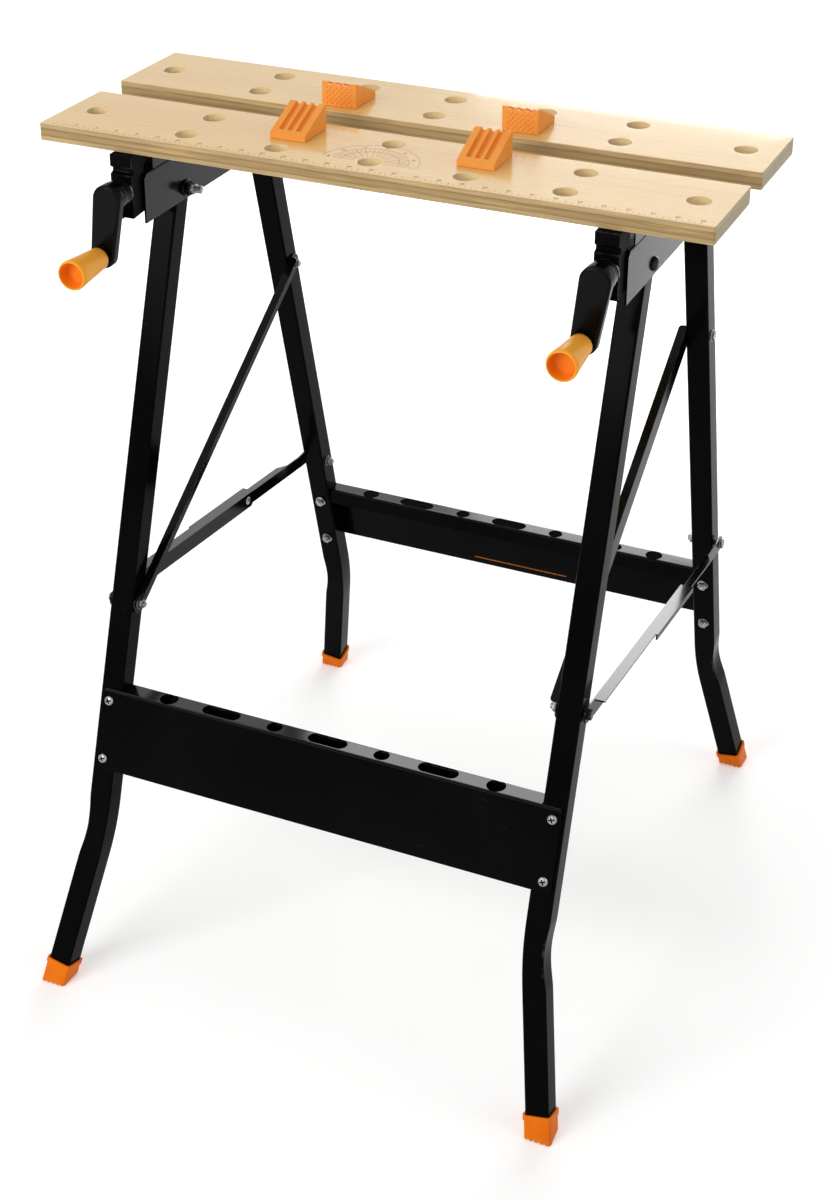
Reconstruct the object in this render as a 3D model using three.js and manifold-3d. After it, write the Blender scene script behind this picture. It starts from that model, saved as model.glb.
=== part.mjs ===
// Folding workbench with two vice jaws, modelled in millimetres.
// +Z up, +X to the right as the user faces the cranks, +Y to the rear, origin under the middle.
import * as THREE from 'three';
import Module from 'manifold-3d';

const wasm = await Module();
wasm.setup();

const GAP = 0.3;

// Jaws and bench dogs
const JAW_LENGTH = 605;
const JAW_DEPTH = 100.5;
const JAW_TOP = 799;
const JAW_BOTTOM = 783.5;
const FRONT_JAW_Y = -95.25;
const REAR_JAW_Y = 39.25;
const DOG_HOLE_D = 20;
const DOG_PAIRS_X = [-171.4, -85.7, 0, 85.7, 171.4];
const DOG_ROW = 24.5;
const DOG_END_X = 274;
const DOG_X = 85.7;
const DOG_WIDTH = 33;
const DOG_HEIGHT = 21.5;
const DOG_FACE = 14;
const DOG_TOE = 28;
const DOG_TOE_HEIGHT = 5;
const DOG_PEG_D = 19.2;

// Rails and the clamping gear in them
const RAIL_X = 218.75;
const RAIL_WIDTH = 26.4;
const RAIL_WALL = 1.8;
const RAIL_TOP = 763;
const RAIL_BOTTOM = 718;
const RAIL_FRONT = -136;
const RAIL_BACK = 140;
const BLOCK_WIDTH = 21;
const BLOCK_FRONT = -152;
const SPINDLE_Z = 751;
const SPINDLE_D = 10;
const CRANK_REACH = 52;
const CRANK_SWING = 8 * Math.PI / 180;
const ARM_BACK = -169.2;
const ARM_FRONT = -179.2;
const GRIP_FRONT = -228;
const NUT_Y = [27, 51];

// Legs
const PIVOT_Z = 728;
const FRONT_PIVOT_Y = -66;
const REAR_PIVOT_Y = 100;
const FRONT_RUN = 236.5;
const REAR_RUN = 202.5;
const LEG = 22;
const LEG_WALL = 1.5;
const LEG_CORNER = 2;
const LEG_TOP = 8;
const LEG_BEND_Z = 152;
const BEND_RADIUS = 380;
const BEND_DENT = 2.8;
const SPLAY = 9.8 * Math.PI / 180;
const BOOT = 24.8;
const BOOT_TALL = 19;

// Braces and beams
const STAY_FRONT_Z = 361;
const STAY_REAR_Z = 320;
const DIAGONAL_Z = 579;
const DIAGONAL_WIDTH = 19;
const DIAGONAL_DEPTH = 8;
const KNEE_SHARE = 0.65;
const STAY_X = 12.6;
const SHEET = 1.5;
const BEAM_WIDTH = 454;
const BEAM_TALL = 76;
const BEAM_FLANGE = 22;
const BEAM_LIP = 10;
const FLANGE_SPAN = 414.4;
const FRONT_BEAM_TOP = -470;
const REAR_BEAM_TOP = -467;
const BEAM_SCREW_INSET = 10;
const FLANGE_SLOTS = [-107.5, 0, 107.5];
const SLOT_LENGTH = 38;
const SLOT_WIDTH = 14.5;
const FLANGE_HOLES = [[-162, 19], [-53, 15], [53, 15], [162, 19]];

function paint(color, roughness, metalness) {
  return () => new THREE.MeshStandardMaterial({ color, roughness, metalness });
}
const blackPaint = paint(0x0b0b0c, 0.28, 0.4);
const plywood = paint(0xd9b888, 0.5, 0);
const orange = paint(0xf08a24, 0.45, 0);
const deepOrange = paint(0xd96a12, 0.5, 0);
const blackPlastic = paint(0x101011, 0.35, 0);
const zinc = paint(0xc4c6c8, 0.3, 1);
const steel = paint(0x8f9296, 0.35, 1);

const X = new THREE.Vector3(1, 0, 0);
const Y = new THREE.Vector3(0, 1, 0);
const Z = new THREE.Vector3(0, 0, 1);
const AXES = {
  x: new THREE.Matrix4().makeBasis(Y, Z, X),
  y: new THREE.Matrix4().makeBasis(Z, X, Y),
  z: new THREE.Matrix4(),
};

// A closed solid from a three.js geometry, its equal vertices joined
function solid(geometry) {
  const flat = geometry.index ? geometry.toNonIndexed() : geometry;
  const source = flat.attributes.position;
  const found = new Map();
  const vertices = [];
  const triangles = [];
  for (let i = 0; i < source.count; i += 3) {
    const ids = [i, i + 1, i + 2].map((k) => {
      const p = [source.getX(k), source.getY(k), source.getZ(k)];
      const key = p.map((v) => Math.round(v * 1e4)).join(',');
      if (!found.has(key)) {
        found.set(key, vertices.length / 3);
        vertices.push(...p);
      }
      return found.get(key);
    });
    if (new Set(ids).size === 3) triangles.push(...ids);
  }
  return new wasm.Manifold(new wasm.Mesh({
    numProp: 3,
    vertProperties: new Float32Array(vertices),
    triVerts: new Uint32Array(triangles),
  }));
}

function geometryOf(body) {
  const mesh = body.getMesh();
  const geometry = new THREE.BufferGeometry();
  geometry.setAttribute('position', new THREE.BufferAttribute(new Float32Array(mesh.vertProperties), 3));
  geometry.setIndex(new THREE.BufferAttribute(new Uint32Array(mesh.triVerts), 1));
  const flat = geometry.toNonIndexed();
  flat.computeVertexNormals();
  return flat;
}

const join = (first, ...rest) => rest.reduce((a, b) => a.add(b), first);
const cut = (first, ...rest) => rest.reduce((a, b) => a.subtract(b), first);

// Box between two corners
function span(x0, x1, y0, y1, z0, z1) {
  const geometry = new THREE.BoxGeometry(Math.abs(x1 - x0), Math.abs(y1 - y0), Math.abs(z1 - z0));
  return solid(geometry.translate((x0 + x1) / 2, (y0 + y1) / 2, (z0 + z1) / 2));
}

// Outline drawn across an axis (y-z for x, z-x for y, x-y for z) and pulled from one station to the other
function prism(axis, outline, from, to, curveSegments = 8) {
  const shape = outline instanceof THREE.Shape
    ? outline
    : new THREE.Shape(outline.map(([a, b]) => new THREE.Vector2(a, b)));
  const low = Math.min(from, to);
  const geometry = new THREE.ExtrudeGeometry(shape, {
    depth: Math.abs(to - from), bevelEnabled: false, curveSegments,
  });
  return solid(geometry.translate(0, 0, low).applyMatrix4(AXES[axis]));
}

// Stepped or plain turned piece along an axis, given as [station, radius] pairs
function turned(axis, profile, a, b, sides = 16) {
  const rising = profile[0][0] <= profile[profile.length - 1][0] ? profile : [...profile].reverse();
  const points = [[rising[0][0], 0], ...rising, [rising[rising.length - 1][0], 0]];
  const geometry = new THREE.LatheGeometry(points.map(([t, r]) => new THREE.Vector2(r, t)), sides);
  const [u, v] = { x: [Y, Z], y: [Z, X], z: [X, Y] }[axis];
  const turn = { x: X, y: Y, z: Z }[axis];
  geometry.applyMatrix4(new THREE.Matrix4().makeBasis(v, turn, u));
  geometry.translate(u.x * a + v.x * b, u.y * a + v.y * b, u.z * a + v.z * b);
  return solid(geometry);
}

function rod(axis, radius, from, to, a, b, sides = 16) {
  return turned(axis, [[from, radius], [to, radius]], a, b, sides);
}

// Convex ring after ring, from the lowest up, joined into a closed skin
function sweep(rings) {
  const n = rings[0].length;
  const corners = [];
  const face = (...points) => points.forEach((p) => corners.push(p.x, p.y, p.z));
  for (let k = 0; k + 1 < rings.length; k += 1) {
    for (let i = 0; i < n; i += 1) {
      const j = (i + 1) % n;
      face(rings[k][i], rings[k][j], rings[k + 1][j]);
      face(rings[k][i], rings[k + 1][j], rings[k + 1][i]);
    }
  }
  const last = rings[rings.length - 1];
  for (let i = 1; i + 1 < n; i += 1) {
    face(rings[0][0], rings[0][i + 1], rings[0][i]);
    face(last[0], last[i], last[i + 1]);
  }
  const geometry = new THREE.BufferGeometry();
  geometry.setAttribute('position', new THREE.BufferAttribute(new Float32Array(corners), 3));
  return solid(geometry);
}

const assembly = new THREE.Group();
assembly.name = 'folding_workbench';

function place(name, body, material, parent = assembly) {
  const mesh = new THREE.Mesh(geometryOf(body), material());
  mesh.name = name;
  parent.add(mesh);
}

function frameAt(y, z, turn) {
  const group = new THREE.Group();
  group.position.set(0, y, z);
  group.rotation.x = turn;
  group.updateMatrix();
  assembly.add(group);
  return group;
}

const SIDES = [['left', -1], ['right', 1]];
const sideX = (side) => (d) => side * (RAIL_X + d);

// Plywood jaws with their dog holes
function jaw(name, middleY) {
  const x = JAW_LENGTH / 2;
  const y = JAW_DEPTH / 2;
  const c = 2;
  const board = new THREE.Shape([
    [-x + c, -y], [x - c, -y], [x, -y + c], [x, y - c], [x - c, y], [-x + c, y], [-x, y - c], [-x, -y + c],
  ].map(([a, b]) => new THREE.Vector2(a, b + middleY)));
  const spots = DOG_PAIRS_X.flatMap((px) => [[px, -DOG_ROW], [px, DOG_ROW]]);
  spots.push([-DOG_END_X, 0], [DOG_END_X, 0]);
  board.holes = spots.map(([hx, hy]) => {
    const hole = new THREE.Path();
    hole.absarc(hx, middleY + hy, DOG_HOLE_D / 2, 0, 2 * Math.PI, true);
    return hole;
  });
  place(name, prism('z', board, JAW_BOTTOM, JAW_TOP, 8), plywood);
}

// Wedge dog: upright gripping face toward the gap, grooved slope down to the toe, round peg
function dog(name, x, pegY, facing) {
  const base = JAW_TOP + GAP;
  const top = base + DOG_HEIGHT;
  const face = pegY + facing * DOG_FACE;
  const toe = pegY - facing * DOG_TOE;
  const ridge = face - facing * 3.5;
  const outline = [
    [face, base], [face, top - 1], [face - facing, top], [ridge, top],
    [toe, base + DOG_TOE_HEIGHT], [toe, base],
  ];
  const wedge = prism('x', outline, x - DOG_WIDTH / 2, x + DOG_WIDTH / 2);
  const drop = DOG_HEIGHT - DOG_TOE_HEIGHT;
  const run = (toe - ridge) * 0.84;
  const groove = [
    [ridge + facing * 8, top + 3], [ridge + run, top - drop * 0.84 + 3],
    [ridge + run, top - drop * 0.84 - 1.2], [ridge + run * 0.9, top - drop * 0.756 - 3.2],
    [ridge + facing * 8, top - 3.2 + (facing * 8 * drop) / Math.abs(toe - ridge) * facing],
  ];
  const grooves = [-8, 0, 8].map((dx) => prism('x', groove, x + dx - 2.7, x + dx + 2.7));
  const r = DOG_PEG_D / 2;
  const peg = turned('z', [[base - 14, r - 1.2], [base - 12.8, r], [base + 1, r]], x, pegY, 16);
  place(name, join(cut(wedge, ...grooves), peg), orange);
}

// Rail, bearing block, riser, carriage, spindle and crank of one side
function clampGear(label, side) {
  const at = sideX(side);
  const half = RAIL_WIDTH / 2;
  const mid = at(0);
  const inner = half - RAIL_WALL;
  const channel = [
    [RAIL_BOTTOM, mid - half], [RAIL_BOTTOM, mid - inner], [RAIL_TOP - RAIL_WALL, mid - inner],
    [RAIL_TOP - RAIL_WALL, mid + inner], [RAIL_BOTTOM, mid + inner], [RAIL_BOTTOM, mid + half],
    [RAIL_TOP - 2, mid + half], [RAIL_TOP - 0.6, mid + half - 0.6], [RAIL_TOP, mid + half - 2],
    [RAIL_TOP, mid - half + 2], [RAIL_TOP - 0.6, mid - half + 0.6], [RAIL_TOP - 2, mid - half],
  ];
  const corner = [[-1, 1], [-1, -5], [7, 1]].map(([y, z]) => [RAIL_FRONT + y, RAIL_TOP + z]);
  place(`rail_${label}`, cut(
    prism('y', channel, RAIL_FRONT, RAIL_BACK),
    span(mid - 5.5, mid + 5.5, -14, 118, RAIL_TOP - 4, RAIL_TOP + 1),
    prism('x', corner, mid - 20, mid + 20),
    ...[FRONT_PIVOT_Y, REAR_PIVOT_Y].map((y) => rod('x', 4.3, mid - 20, mid + 20, y, PIVOT_Z)),
  ), blackPaint);

  const seat = JAW_BOTTOM - GAP;
  const b = BLOCK_FRONT;
  const block = [
    [b, seat], [b, 772.5], [b + 4, 770], [b + 4, 767.5], [b, 765.5], [b, 727], [b + 15.6, 728.5],
    [-112, 728.5], [-112, 760.8], [b + 15.6, 760.8], [b + 15.6, RAIL_TOP + GAP], [-132, RAIL_TOP + GAP],
    [-132, 769], [-127, 773], [-127, seat],
  ];
  place(`bearing_block_${label}`, cut(
    prism('x', block, mid - BLOCK_WIDTH / 2, mid + BLOCK_WIDTH / 2),
    rod('y', 5.5, b - 5, -100, SPINDLE_Z, mid, 16),
  ), blackPlastic);

  place(`jaw_riser_${label}`, cut(
    span(mid - half, mid + half, -121, -62, RAIL_TOP + GAP, seat),
    span(mid - half + SHEET, mid + half - SHEET, -130, -50, RAIL_TOP - 1, seat - SHEET),
  ), blackPaint);

  place(`carriage_${label}`, cut(
    join(
      span(mid - half, mid + half, 9, 69, RAIL_TOP + GAP, seat),
      span(mid - 4.8, mid + 4.8, NUT_Y[0], NUT_Y[1], 757, 766),
      span(mid - 10, mid + 10, NUT_Y[0], NUT_Y[1], 743.6, 760.8),
    ),
    rod('y', 5.4, 0, 80, SPINDLE_Z, mid, 16),
  ), blackPlastic);

  const s = SPINDLE_D / 2;
  place(`spindle_${label}`, turned('y', [
    [-166.5, s - 1], [-165.5, s], [-111.6, s], [-111.6, 8], [-107.6, 8], [-107.6, s],
    [132.5, s], [134, s - 1.5],
  ], SPINDLE_Z, mid), steel);

  const handX = mid - CRANK_REACH * Math.sin(CRANK_SWING);
  const handZ = SPINDLE_Z - CRANK_REACH * Math.cos(CRANK_SWING);
  const arm = new THREE.Shape();
  const lean = Math.asin(2 / CRANK_REACH);
  const down = Math.atan2(handX - mid, handZ - SPINDLE_Z);
  arm.absarc(SPINDLE_Z, mid, 13.5, down + Math.PI / 2 - lean, down - Math.PI / 2 + lean, false);
  arm.absarc(handZ, handX, 11.5, down - Math.PI / 2 + lean, down + Math.PI / 2 - lean, false);
  place(`crank_${label}`, cut(
    join(
      prism('y', arm, ARM_FRONT, ARM_BACK, 6),
      turned('y', [
        [-152.4, 11.4], [-153.6, 12.4], [-163, 12.4], [-163.6, 13.2], [-172, 13.4],
      ], SPINDLE_Z, mid, 18),
      turned('y', [[-175, 8.6], [-183, 8.6], [-183, 4], [-213, 4], [-214, 3]], handZ, handX, 14),
    ),
    rod('y', s + GAP, -167, -150, SPINDLE_Z, mid),
  ), blackPlastic);

  const grip = [
    [-183.4, 9.4], [-185, 10.2], [-222, 13.2], [-226, 13.4], [GRIP_FRONT, 12.2],
  ];
  place(`crank_grip_${label}`, cut(
    turned('y', grip, handZ, handX, 20),
    rod('y', 4.4, -215.4, -180, handZ, handX, 14),
    turned('y', [[-230, 10.4], [-217, 9.2]], handZ, handX, 20),
  ), orange);
}

// Rounded square section, sized by its half width
function squareRing(half, corner, steps) {
  const ring = [];
  for (let q = 0; q < 4; q += 1) {
    const turn = q * Math.PI / 2;
    const cx = (half - corner) * (q === 0 || q === 3 ? 1 : -1);
    const cy = (half - corner) * (q < 2 ? 1 : -1);
    for (let k = 0; k <= steps; k += 1) {
      const a = turn + k * Math.PI / (2 * steps);
      ring.push([cx + corner * Math.cos(a), cy + corner * Math.sin(a)]);
    }
  }
  return ring;
}

// Middle line of a leg in its own frame: straight, then bent outward; drop is measured down the leg
function legLine(side, cosTilt) {
  const bend = (PIVOT_Z - LEG_BEND_Z) / cosTilt;
  const lead = BEND_RADIUS * Math.tan(SPLAY / 2);
  return (drop) => {
    const into = drop - (bend - lead);
    const sweepLength = BEND_RADIUS * SPLAY;
    if (into <= 0) return { x: sideX(side)(0), z: -drop, lean: 0, dent: 0 };
    const angle = Math.min(into / BEND_RADIUS, SPLAY);
    const past = Math.max(into - sweepLength, 0);
    const out = BEND_RADIUS * (1 - Math.cos(angle)) + past * Math.sin(angle);
    const fall = BEND_RADIUS * Math.sin(angle) + past * Math.cos(angle);
    return {
      x: sideX(side)(out), z: -(bend - lead) - fall, lean: angle * side,
      dent: past > 0 ? 0 : BEND_DENT * Math.sin(Math.PI * into / sweepLength),
    };
  };
}

function legRing(section, station, side) {
  return section.map(([p, q]) => {
    const outward = p * side > 0 ? station.dent : 0;
    const px = p - side * outward;
    const py = q * (1 + outward * 0.03);
    return new THREE.Vector3(
      station.x + px * Math.cos(station.lean), py, station.z + px * Math.sin(station.lean),
    );
  });
}

// Tube legs of one pair with their boots, in a frame hung at the pivot and tilted
function legPair(pair, frame, run, holes, screwDrops) {
  const tilt = Math.atan(run / PIVOT_Z);
  const cosTilt = Math.cos(tilt);
  const bend = (PIVOT_Z - LEG_BEND_Z) / cosTilt;
  const lead = BEND_RADIUS * Math.tan(SPLAY / 2);
  const floorDrop = bend - lead + BEND_RADIUS * SPLAY + (LEG_BEND_Z / cosTilt - lead) / Math.cos(SPLAY);
  SIDES.forEach(([label, side]) => {
    const line = legLine(side, cosTilt);
    const bendStops = [0, 0.2, 0.4, 0.6, 0.8, 1].map((t) => bend - lead + t * BEND_RADIUS * SPLAY);
    const tube = (section, from, to) => sweep(
      [from, ...bendStops, to].reverse().map((drop) => legRing(section, line(drop), side)),
    );
    const outer = tube(squareRing(LEG / 2, LEG_CORNER, 2), -LEG_TOP, floorDrop - 6);
    const bore = tube(squareRing(LEG / 2 - LEG_WALL, 1, 1), -LEG_TOP - 2, floorDrop);
    const at = sideX(side);
    place(`${pair}_leg_${label}`, cut(
      outer, bore,
      ...holes.map(([drop, radius]) => rod('x', radius, at(-15), at(15), 0, -drop, 8)),
      ...screwDrops.map((drop) => rod('y', 2.9, -15, 15, -drop, at(0), 6)),
    ), blackPaint, frame);

    const boot = (section, from, to) => sweep([to, from].map((drop) => legRing(section, line(drop), side)));
    const cup = cut(
      join(
        boot(squareRing(BOOT / 2, 3, 2), floorDrop - BOOT_TALL, floorDrop + 14),
        boot(squareRing(BOOT / 2 + 0.9, 3.4, 2), floorDrop - BOOT_TALL, floorDrop - BOOT_TALL + 4.5),
      ),
      boot(squareRing(LEG / 2 + GAP, 1.2, 1), floorDrop - BOOT_TALL - 2, floorDrop - 5.5),
    );
    const standing = geometryOf(cup).applyMatrix4(frame.matrix);
    const foot = line(floorDrop);
    const floorY = frame.position.y + (run * Math.sign(frame.position.y));
    const teeth = [-7.6, -2.55, 2.55, 7.6].map((dx) => prism('y', [
      [-1, foot.x + dx - 1.9], [-1, foot.x + dx + 1.9], [2.4, foot.x + dx],
    ], floorY - 30, floorY + 30));
    const below = span(foot.x - 60, foot.x + 60, floorY - 60, floorY + 60, -40, 0);
    place(`foot_${pair}_${label}`, cut(solid(standing), below, ...teeth), deepOrange);
  });
}

// Hexagon or round headed bolt along x or y, given as stations of head, shank and nut
function bolt(axis, a, b, { head, shank, nut, lockNut, dome }) {
  const [from, to, radius] = shank;
  const pieces = [rod(axis, radius, from, to, a, b, 6)];
  if (head) pieces.push(rod(axis, head[2], head[0], head[1], a, b, 6));
  [nut, lockNut].filter(Boolean).forEach(([t0, t1, r]) => pieces.push(rod(axis, r, t0, t1, a, b, 6)));
  if (dome) pieces.push(turned(axis, dome, a, b, 8));
  return join(...pieces);
}

// Pressed beam between a pair of legs, its flange pierced as a tool rack and turned down at the free edge
function beam(pair, frame, front, top) {
  const toward = front ? 1 : -1;
  const skin = -toward * (LEG / 2 + GAP);
  const outside = skin - toward * SHEET;
  const lip = outside + toward * BEAM_FLANGE;
  const w = BEAM_WIDTH / 2;
  const f = FLANGE_SPAN / 2;
  const low = top - BEAM_TALL;
  const r = 4;
  const plate = [
    [low, -w + r], [low + r, -w], [top - r, -w], [top - 1.2, -w + 1.2], [top, -w + r],
    [top, w - r], [top - 1.2, w - 1.2], [top - r, w], [low + r, w], [low, w - r],
  ];
  const flange = join(
    span(-f, f, outside + toward * 0.4, lip, top - SHEET, top),
    span(-f, f, lip - toward * SHEET, lip, top - BEAM_LIP, top),
  );
  const rowY = outside + toward * 12;
  const openings = FLANGE_HOLES.map(([x, d]) => rod('z', d / 2, top - 5, top + 5, x, rowY, 16));
  FLANGE_SLOTS.forEach((x) => {
    const half = SLOT_LENGTH / 2 - SLOT_WIDTH / 2;
    const slot = new THREE.Shape();
    slot.absarc(x + half, rowY, SLOT_WIDTH / 2, -Math.PI / 2, Math.PI / 2, false);
    slot.absarc(x - half, rowY, SLOT_WIDTH / 2, Math.PI / 2, 1.5 * Math.PI, false);
    openings.push(prism('z', slot, top - 5, top + 5, 5));
  });
  const rows = [top - BEAM_SCREW_INSET, low + BEAM_SCREW_INSET];
  const screwHoles = rows.flatMap((z) => (
    SIDES.map(([, side]) => rod('y', 2.9, -20, 20, z, side * RAIL_X, 6))
  ));
  const edge = prism('x', [
    [outside - toward, top + 1], [outside - toward, top - 1.4], [outside + toward * 1.4, top + 1],
  ], -w - 5, w + 5);
  place(`${pair}_beam`, cut(
    join(prism('y', plate, skin, outside), flange), edge, ...openings, ...screwHoles,
  ), blackPaint, frame);
  rows.forEach((z, row) => SIDES.forEach(([label, side]) => {
    const y = (d) => toward * d;
    const screw = bolt('y', z, side * RAIL_X, {
      shank: [y(-14.6), y(17), 2.5],
      nut: [y(11.4), y(15.4), 4.7],
      dome: [[y(-13.1), 4.6], [y(-14.4), 4.3], [y(-15.8), 2]],
    });
    place(`${pair}_beam_screw_${row === 0 ? 'upper' : 'lower'}_${label}`, screw, zinc, frame);
  }));
}

const frontTilt = Math.atan(FRONT_RUN / PIVOT_Z);
const rearTilt = Math.atan(REAR_RUN / PIVOT_Z);
const frontFrame = frameAt(FRONT_PIVOT_Y, PIVOT_Z, -frontTilt);
const rearFrame = frameAt(REAR_PIVOT_Y, PIVOT_Z, rearTilt);
const onFront = (z) => [FRONT_PIVOT_Y - FRONT_RUN * (1 - z / PIVOT_Z), z];
const onRear = (z) => [REAR_PIVOT_Y + REAR_RUN * (1 - z / PIVOT_Z), z];
const dropFront = (z) => (PIVOT_Z - z) / Math.cos(frontTilt);
const dropRear = (z) => (PIVOT_Z - z) / Math.cos(rearTilt);

// Diagonal angle on the inner side of the legs: round-ended strap with a flange along its upper edge
function diagonal(label, side) {
  const [py, pz] = onFront(STAY_FRONT_Z);
  const [qy, qz] = onRear(DIAGONAL_Z);
  const length = Math.hypot(qy - py, qz - pz);
  const frame = frameAt(py, pz, Math.atan2(qz - pz, qy - py));
  const at = sideX(side);
  const r = DIAGONAL_WIDTH / 2;
  const strap = new THREE.Shape();
  strap.absarc(0, 0, r, Math.PI / 2, 1.5 * Math.PI, false);
  strap.absarc(length, 0, r, -Math.PI / 2, Math.PI / 2, false);
  const wall = LEG / 2 + 0.5;
  const depth = wall + DIAGONAL_DEPTH;
  const flange = [
    [at(-wall), 0], [at(3 - depth), 0], [at(0.9 - depth), 0.9], [at(-depth), 3],
    [at(-depth), length - 3], [at(0.9 - depth), length - 0.9], [at(3 - depth), length], [at(-wall), length],
  ];
  place(`diagonal_${label}`, cut(
    join(
      prism('x', strap, at(-wall), at(-wall - SHEET), 6),
      prism('z', flange, r - SHEET, r),
    ),
    ...[0, length].map((u) => rod('x', 3.4, at(-5), at(-25), u, 0, 12)),
  ), blackPaint, frame);
  place(`diagonal_nut_${label}`, bolt('x', 0, 0, {
    shank: [at(-wall - 0.4), at(-19.5), 3], nut: [at(-13.4), at(-17.4), 4.8],
  }), zinc, frame);
  place(`diagonal_bolt_${label}`, bolt('x', 0, -dropRear(DIAGONAL_Z), {
    shank: [at(12), at(-19.5), 3], head: [at(11.4), at(14.4), 4.8], nut: [at(-13.4), at(-17.4), 4.8],
  }), zinc, rearFrame);
}

// Folding stay on the outer side of the legs: flanged front half, narrower rear half nested in its knee
function stay(label, side) {
  const [py, pz] = onFront(STAY_FRONT_Z);
  const [sy, sz] = onRear(STAY_REAR_Z);
  const length = Math.hypot(sy - py, sz - pz);
  const knee = length * KNEE_SHARE;
  const end = knee + 12;
  const frame = frameAt(py, pz, Math.atan2(sz - pz, sy - py));
  const at = sideX(side);

  const ear = new THREE.Shape();
  ear.moveTo(18, 7);
  ear.lineTo(8, 8);
  ear.absarc(0, 0, 8, Math.PI / 2, 1.5 * Math.PI, false);
  [[8, -8], [18, -9], [end - 3, -9], [end, -6], [end, 7]].forEach(([u, v]) => ear.lineTo(u, v));
  const outer = STAY_X + 12.4;
  const hood = knee * 0.61;
  place(`stay_front_${label}`, cut(
    join(
      prism('x', ear, at(STAY_X), at(STAY_X + SHEET)),
      span(at(STAY_X + 0.2), at(STAY_X + 10.4), 16, end, 7 - SHEET, 7),
      span(at(STAY_X + 0.2), at(outer), hood, end, 7 - SHEET, 7),
      span(at(outer - SHEET), at(outer), hood, end, 1.5, 7),
    ),
    rod('x', 3.4, at(0), at(30), 0, 0, 12),
    rod('x', 2.8, at(0), at(18), knee, 0, 12),
  ), blackPaint, frame);

  const base = STAY_X + SHEET + GAP;
  const skin = base + SHEET;
  const link = new THREE.Shape();
  link.moveTo(length - 18, 5);
  link.lineTo(knee, 5);
  link.absarc(knee, 0, 5, Math.PI / 2, 1.5 * Math.PI, false);
  [[knee + 12, -8], [length - 10, -8]].forEach(([u, v]) => link.lineTo(u, v));
  link.absarc(length, 0, 7.5, -Math.PI / 2, Math.PI / 2, false);
  const web = [
    [at(base + 0.2), knee + 6], [at(base + 7.6), knee + 6], [at(base + 7.6), length - 58],
    [at(base + 2), length - 46], [at(base + 0.2), length - 46],
  ];
  place(`stay_rear_${label}`, cut(
    join(
      prism('x', link, at(base), at(base + SHEET)),
      prism('z', web, 5 - SHEET, 5),
    ),
    rod('x', 2.8, at(0), at(30), knee, 0, 12),
    rod('x', 3.4, at(0), at(30), length, 0, 12),
  ), blackPaint, frame);

  place(`knee_rivet_${label}`, join(
    rod('x', 2.5, at(STAY_X - 1), at(skin + 1), knee, 0, 10),
    turned('x', [[at(STAY_X - 1.3), 3], [at(STAY_X - 0.8), 4.2], [at(STAY_X - 0.2), 4.2]], knee, 0, 10),
    turned('x', [[at(skin + 0.2), 4.4], [at(skin + 1.2), 4], [at(skin + 2.2), 2]], knee, 0, 10),
  ), zinc, frame);
  place(`stay_rear_bolt_${label}`, bolt('x', length, 0, {
    shank: [at(STAY_X - 1.1), at(skin + 1), 3], head: [at(skin + 0.2), at(skin + 3.2), 4.8],
  }), zinc, frame);

  place(`stay_front_bolt_${label}`, bolt('x', 0, -dropFront(STAY_FRONT_Z), {
    shank: [at(-10.6), at(STAY_X + 3), 3],
    head: [at(STAY_X + SHEET + GAP), at(STAY_X + SHEET + 3.6), 4.8],
  }), zinc, frontFrame);
  place(`stay_nut_${label}`, bolt('x', 0, -dropRear(STAY_REAR_Z), {
    shank: [at(10.6), at(-17.6), 3], nut: [at(-11.4), at(-15.4), 4.8],
  }), zinc, rearFrame);
}

jaw('front_jaw', FRONT_JAW_Y);
jaw('rear_jaw', REAR_JAW_Y);
SIDES.forEach(([label, side]) => {
  dog(`dog_front_${label}`, side * DOG_X, FRONT_JAW_Y + DOG_ROW, 1);
  dog(`dog_rear_${label}`, side * DOG_X, REAR_JAW_Y - DOG_ROW, -1);
  clampGear(label, side);
});

const screwDrops = (top) => [BEAM_SCREW_INSET - top, BEAM_TALL - BEAM_SCREW_INSET - top];
legPair(
  'front', frontFrame, FRONT_RUN,
  [[0, 4.3], [dropFront(STAY_FRONT_Z), 3.3]], screwDrops(FRONT_BEAM_TOP),
);
legPair(
  'rear', rearFrame, REAR_RUN,
  [[0, 4.3], [dropRear(DIAGONAL_Z), 3.3], [dropRear(STAY_REAR_Z), 3.3]], screwDrops(REAR_BEAM_TOP),
);
beam('front', frontFrame, true, FRONT_BEAM_TOP);
beam('rear', rearFrame, false, REAR_BEAM_TOP);

SIDES.forEach(([label, side]) => {
  diagonal(label, side);
  stay(label, side);
  const at = sideX(side);
  [['front', FRONT_PIVOT_Y], ['rear', REAR_PIVOT_Y]].forEach(([pair, y]) => {
    place(`${pair}_pivot_bolt_${label}`, bolt('x', y, PIVOT_Z, {
      shank: [at(15.5), at(-29.5), 3.6],
      nut: [at(-13.6), at(-18.5), 6.8],
      lockNut: [at(-18.3), at(-23.1), 5.4],
      dome: [[at(13.6), 6.4], [at(15.1), 6], [at(17.1), 3]],
    }), blackPaint);
  });
});

export default assembly;
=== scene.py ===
import bmesh
import bpy
from math import asin, atan, atan2, cos, hypot, pi, radians, sin, tan
from mathutils import Matrix, Vector


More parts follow.
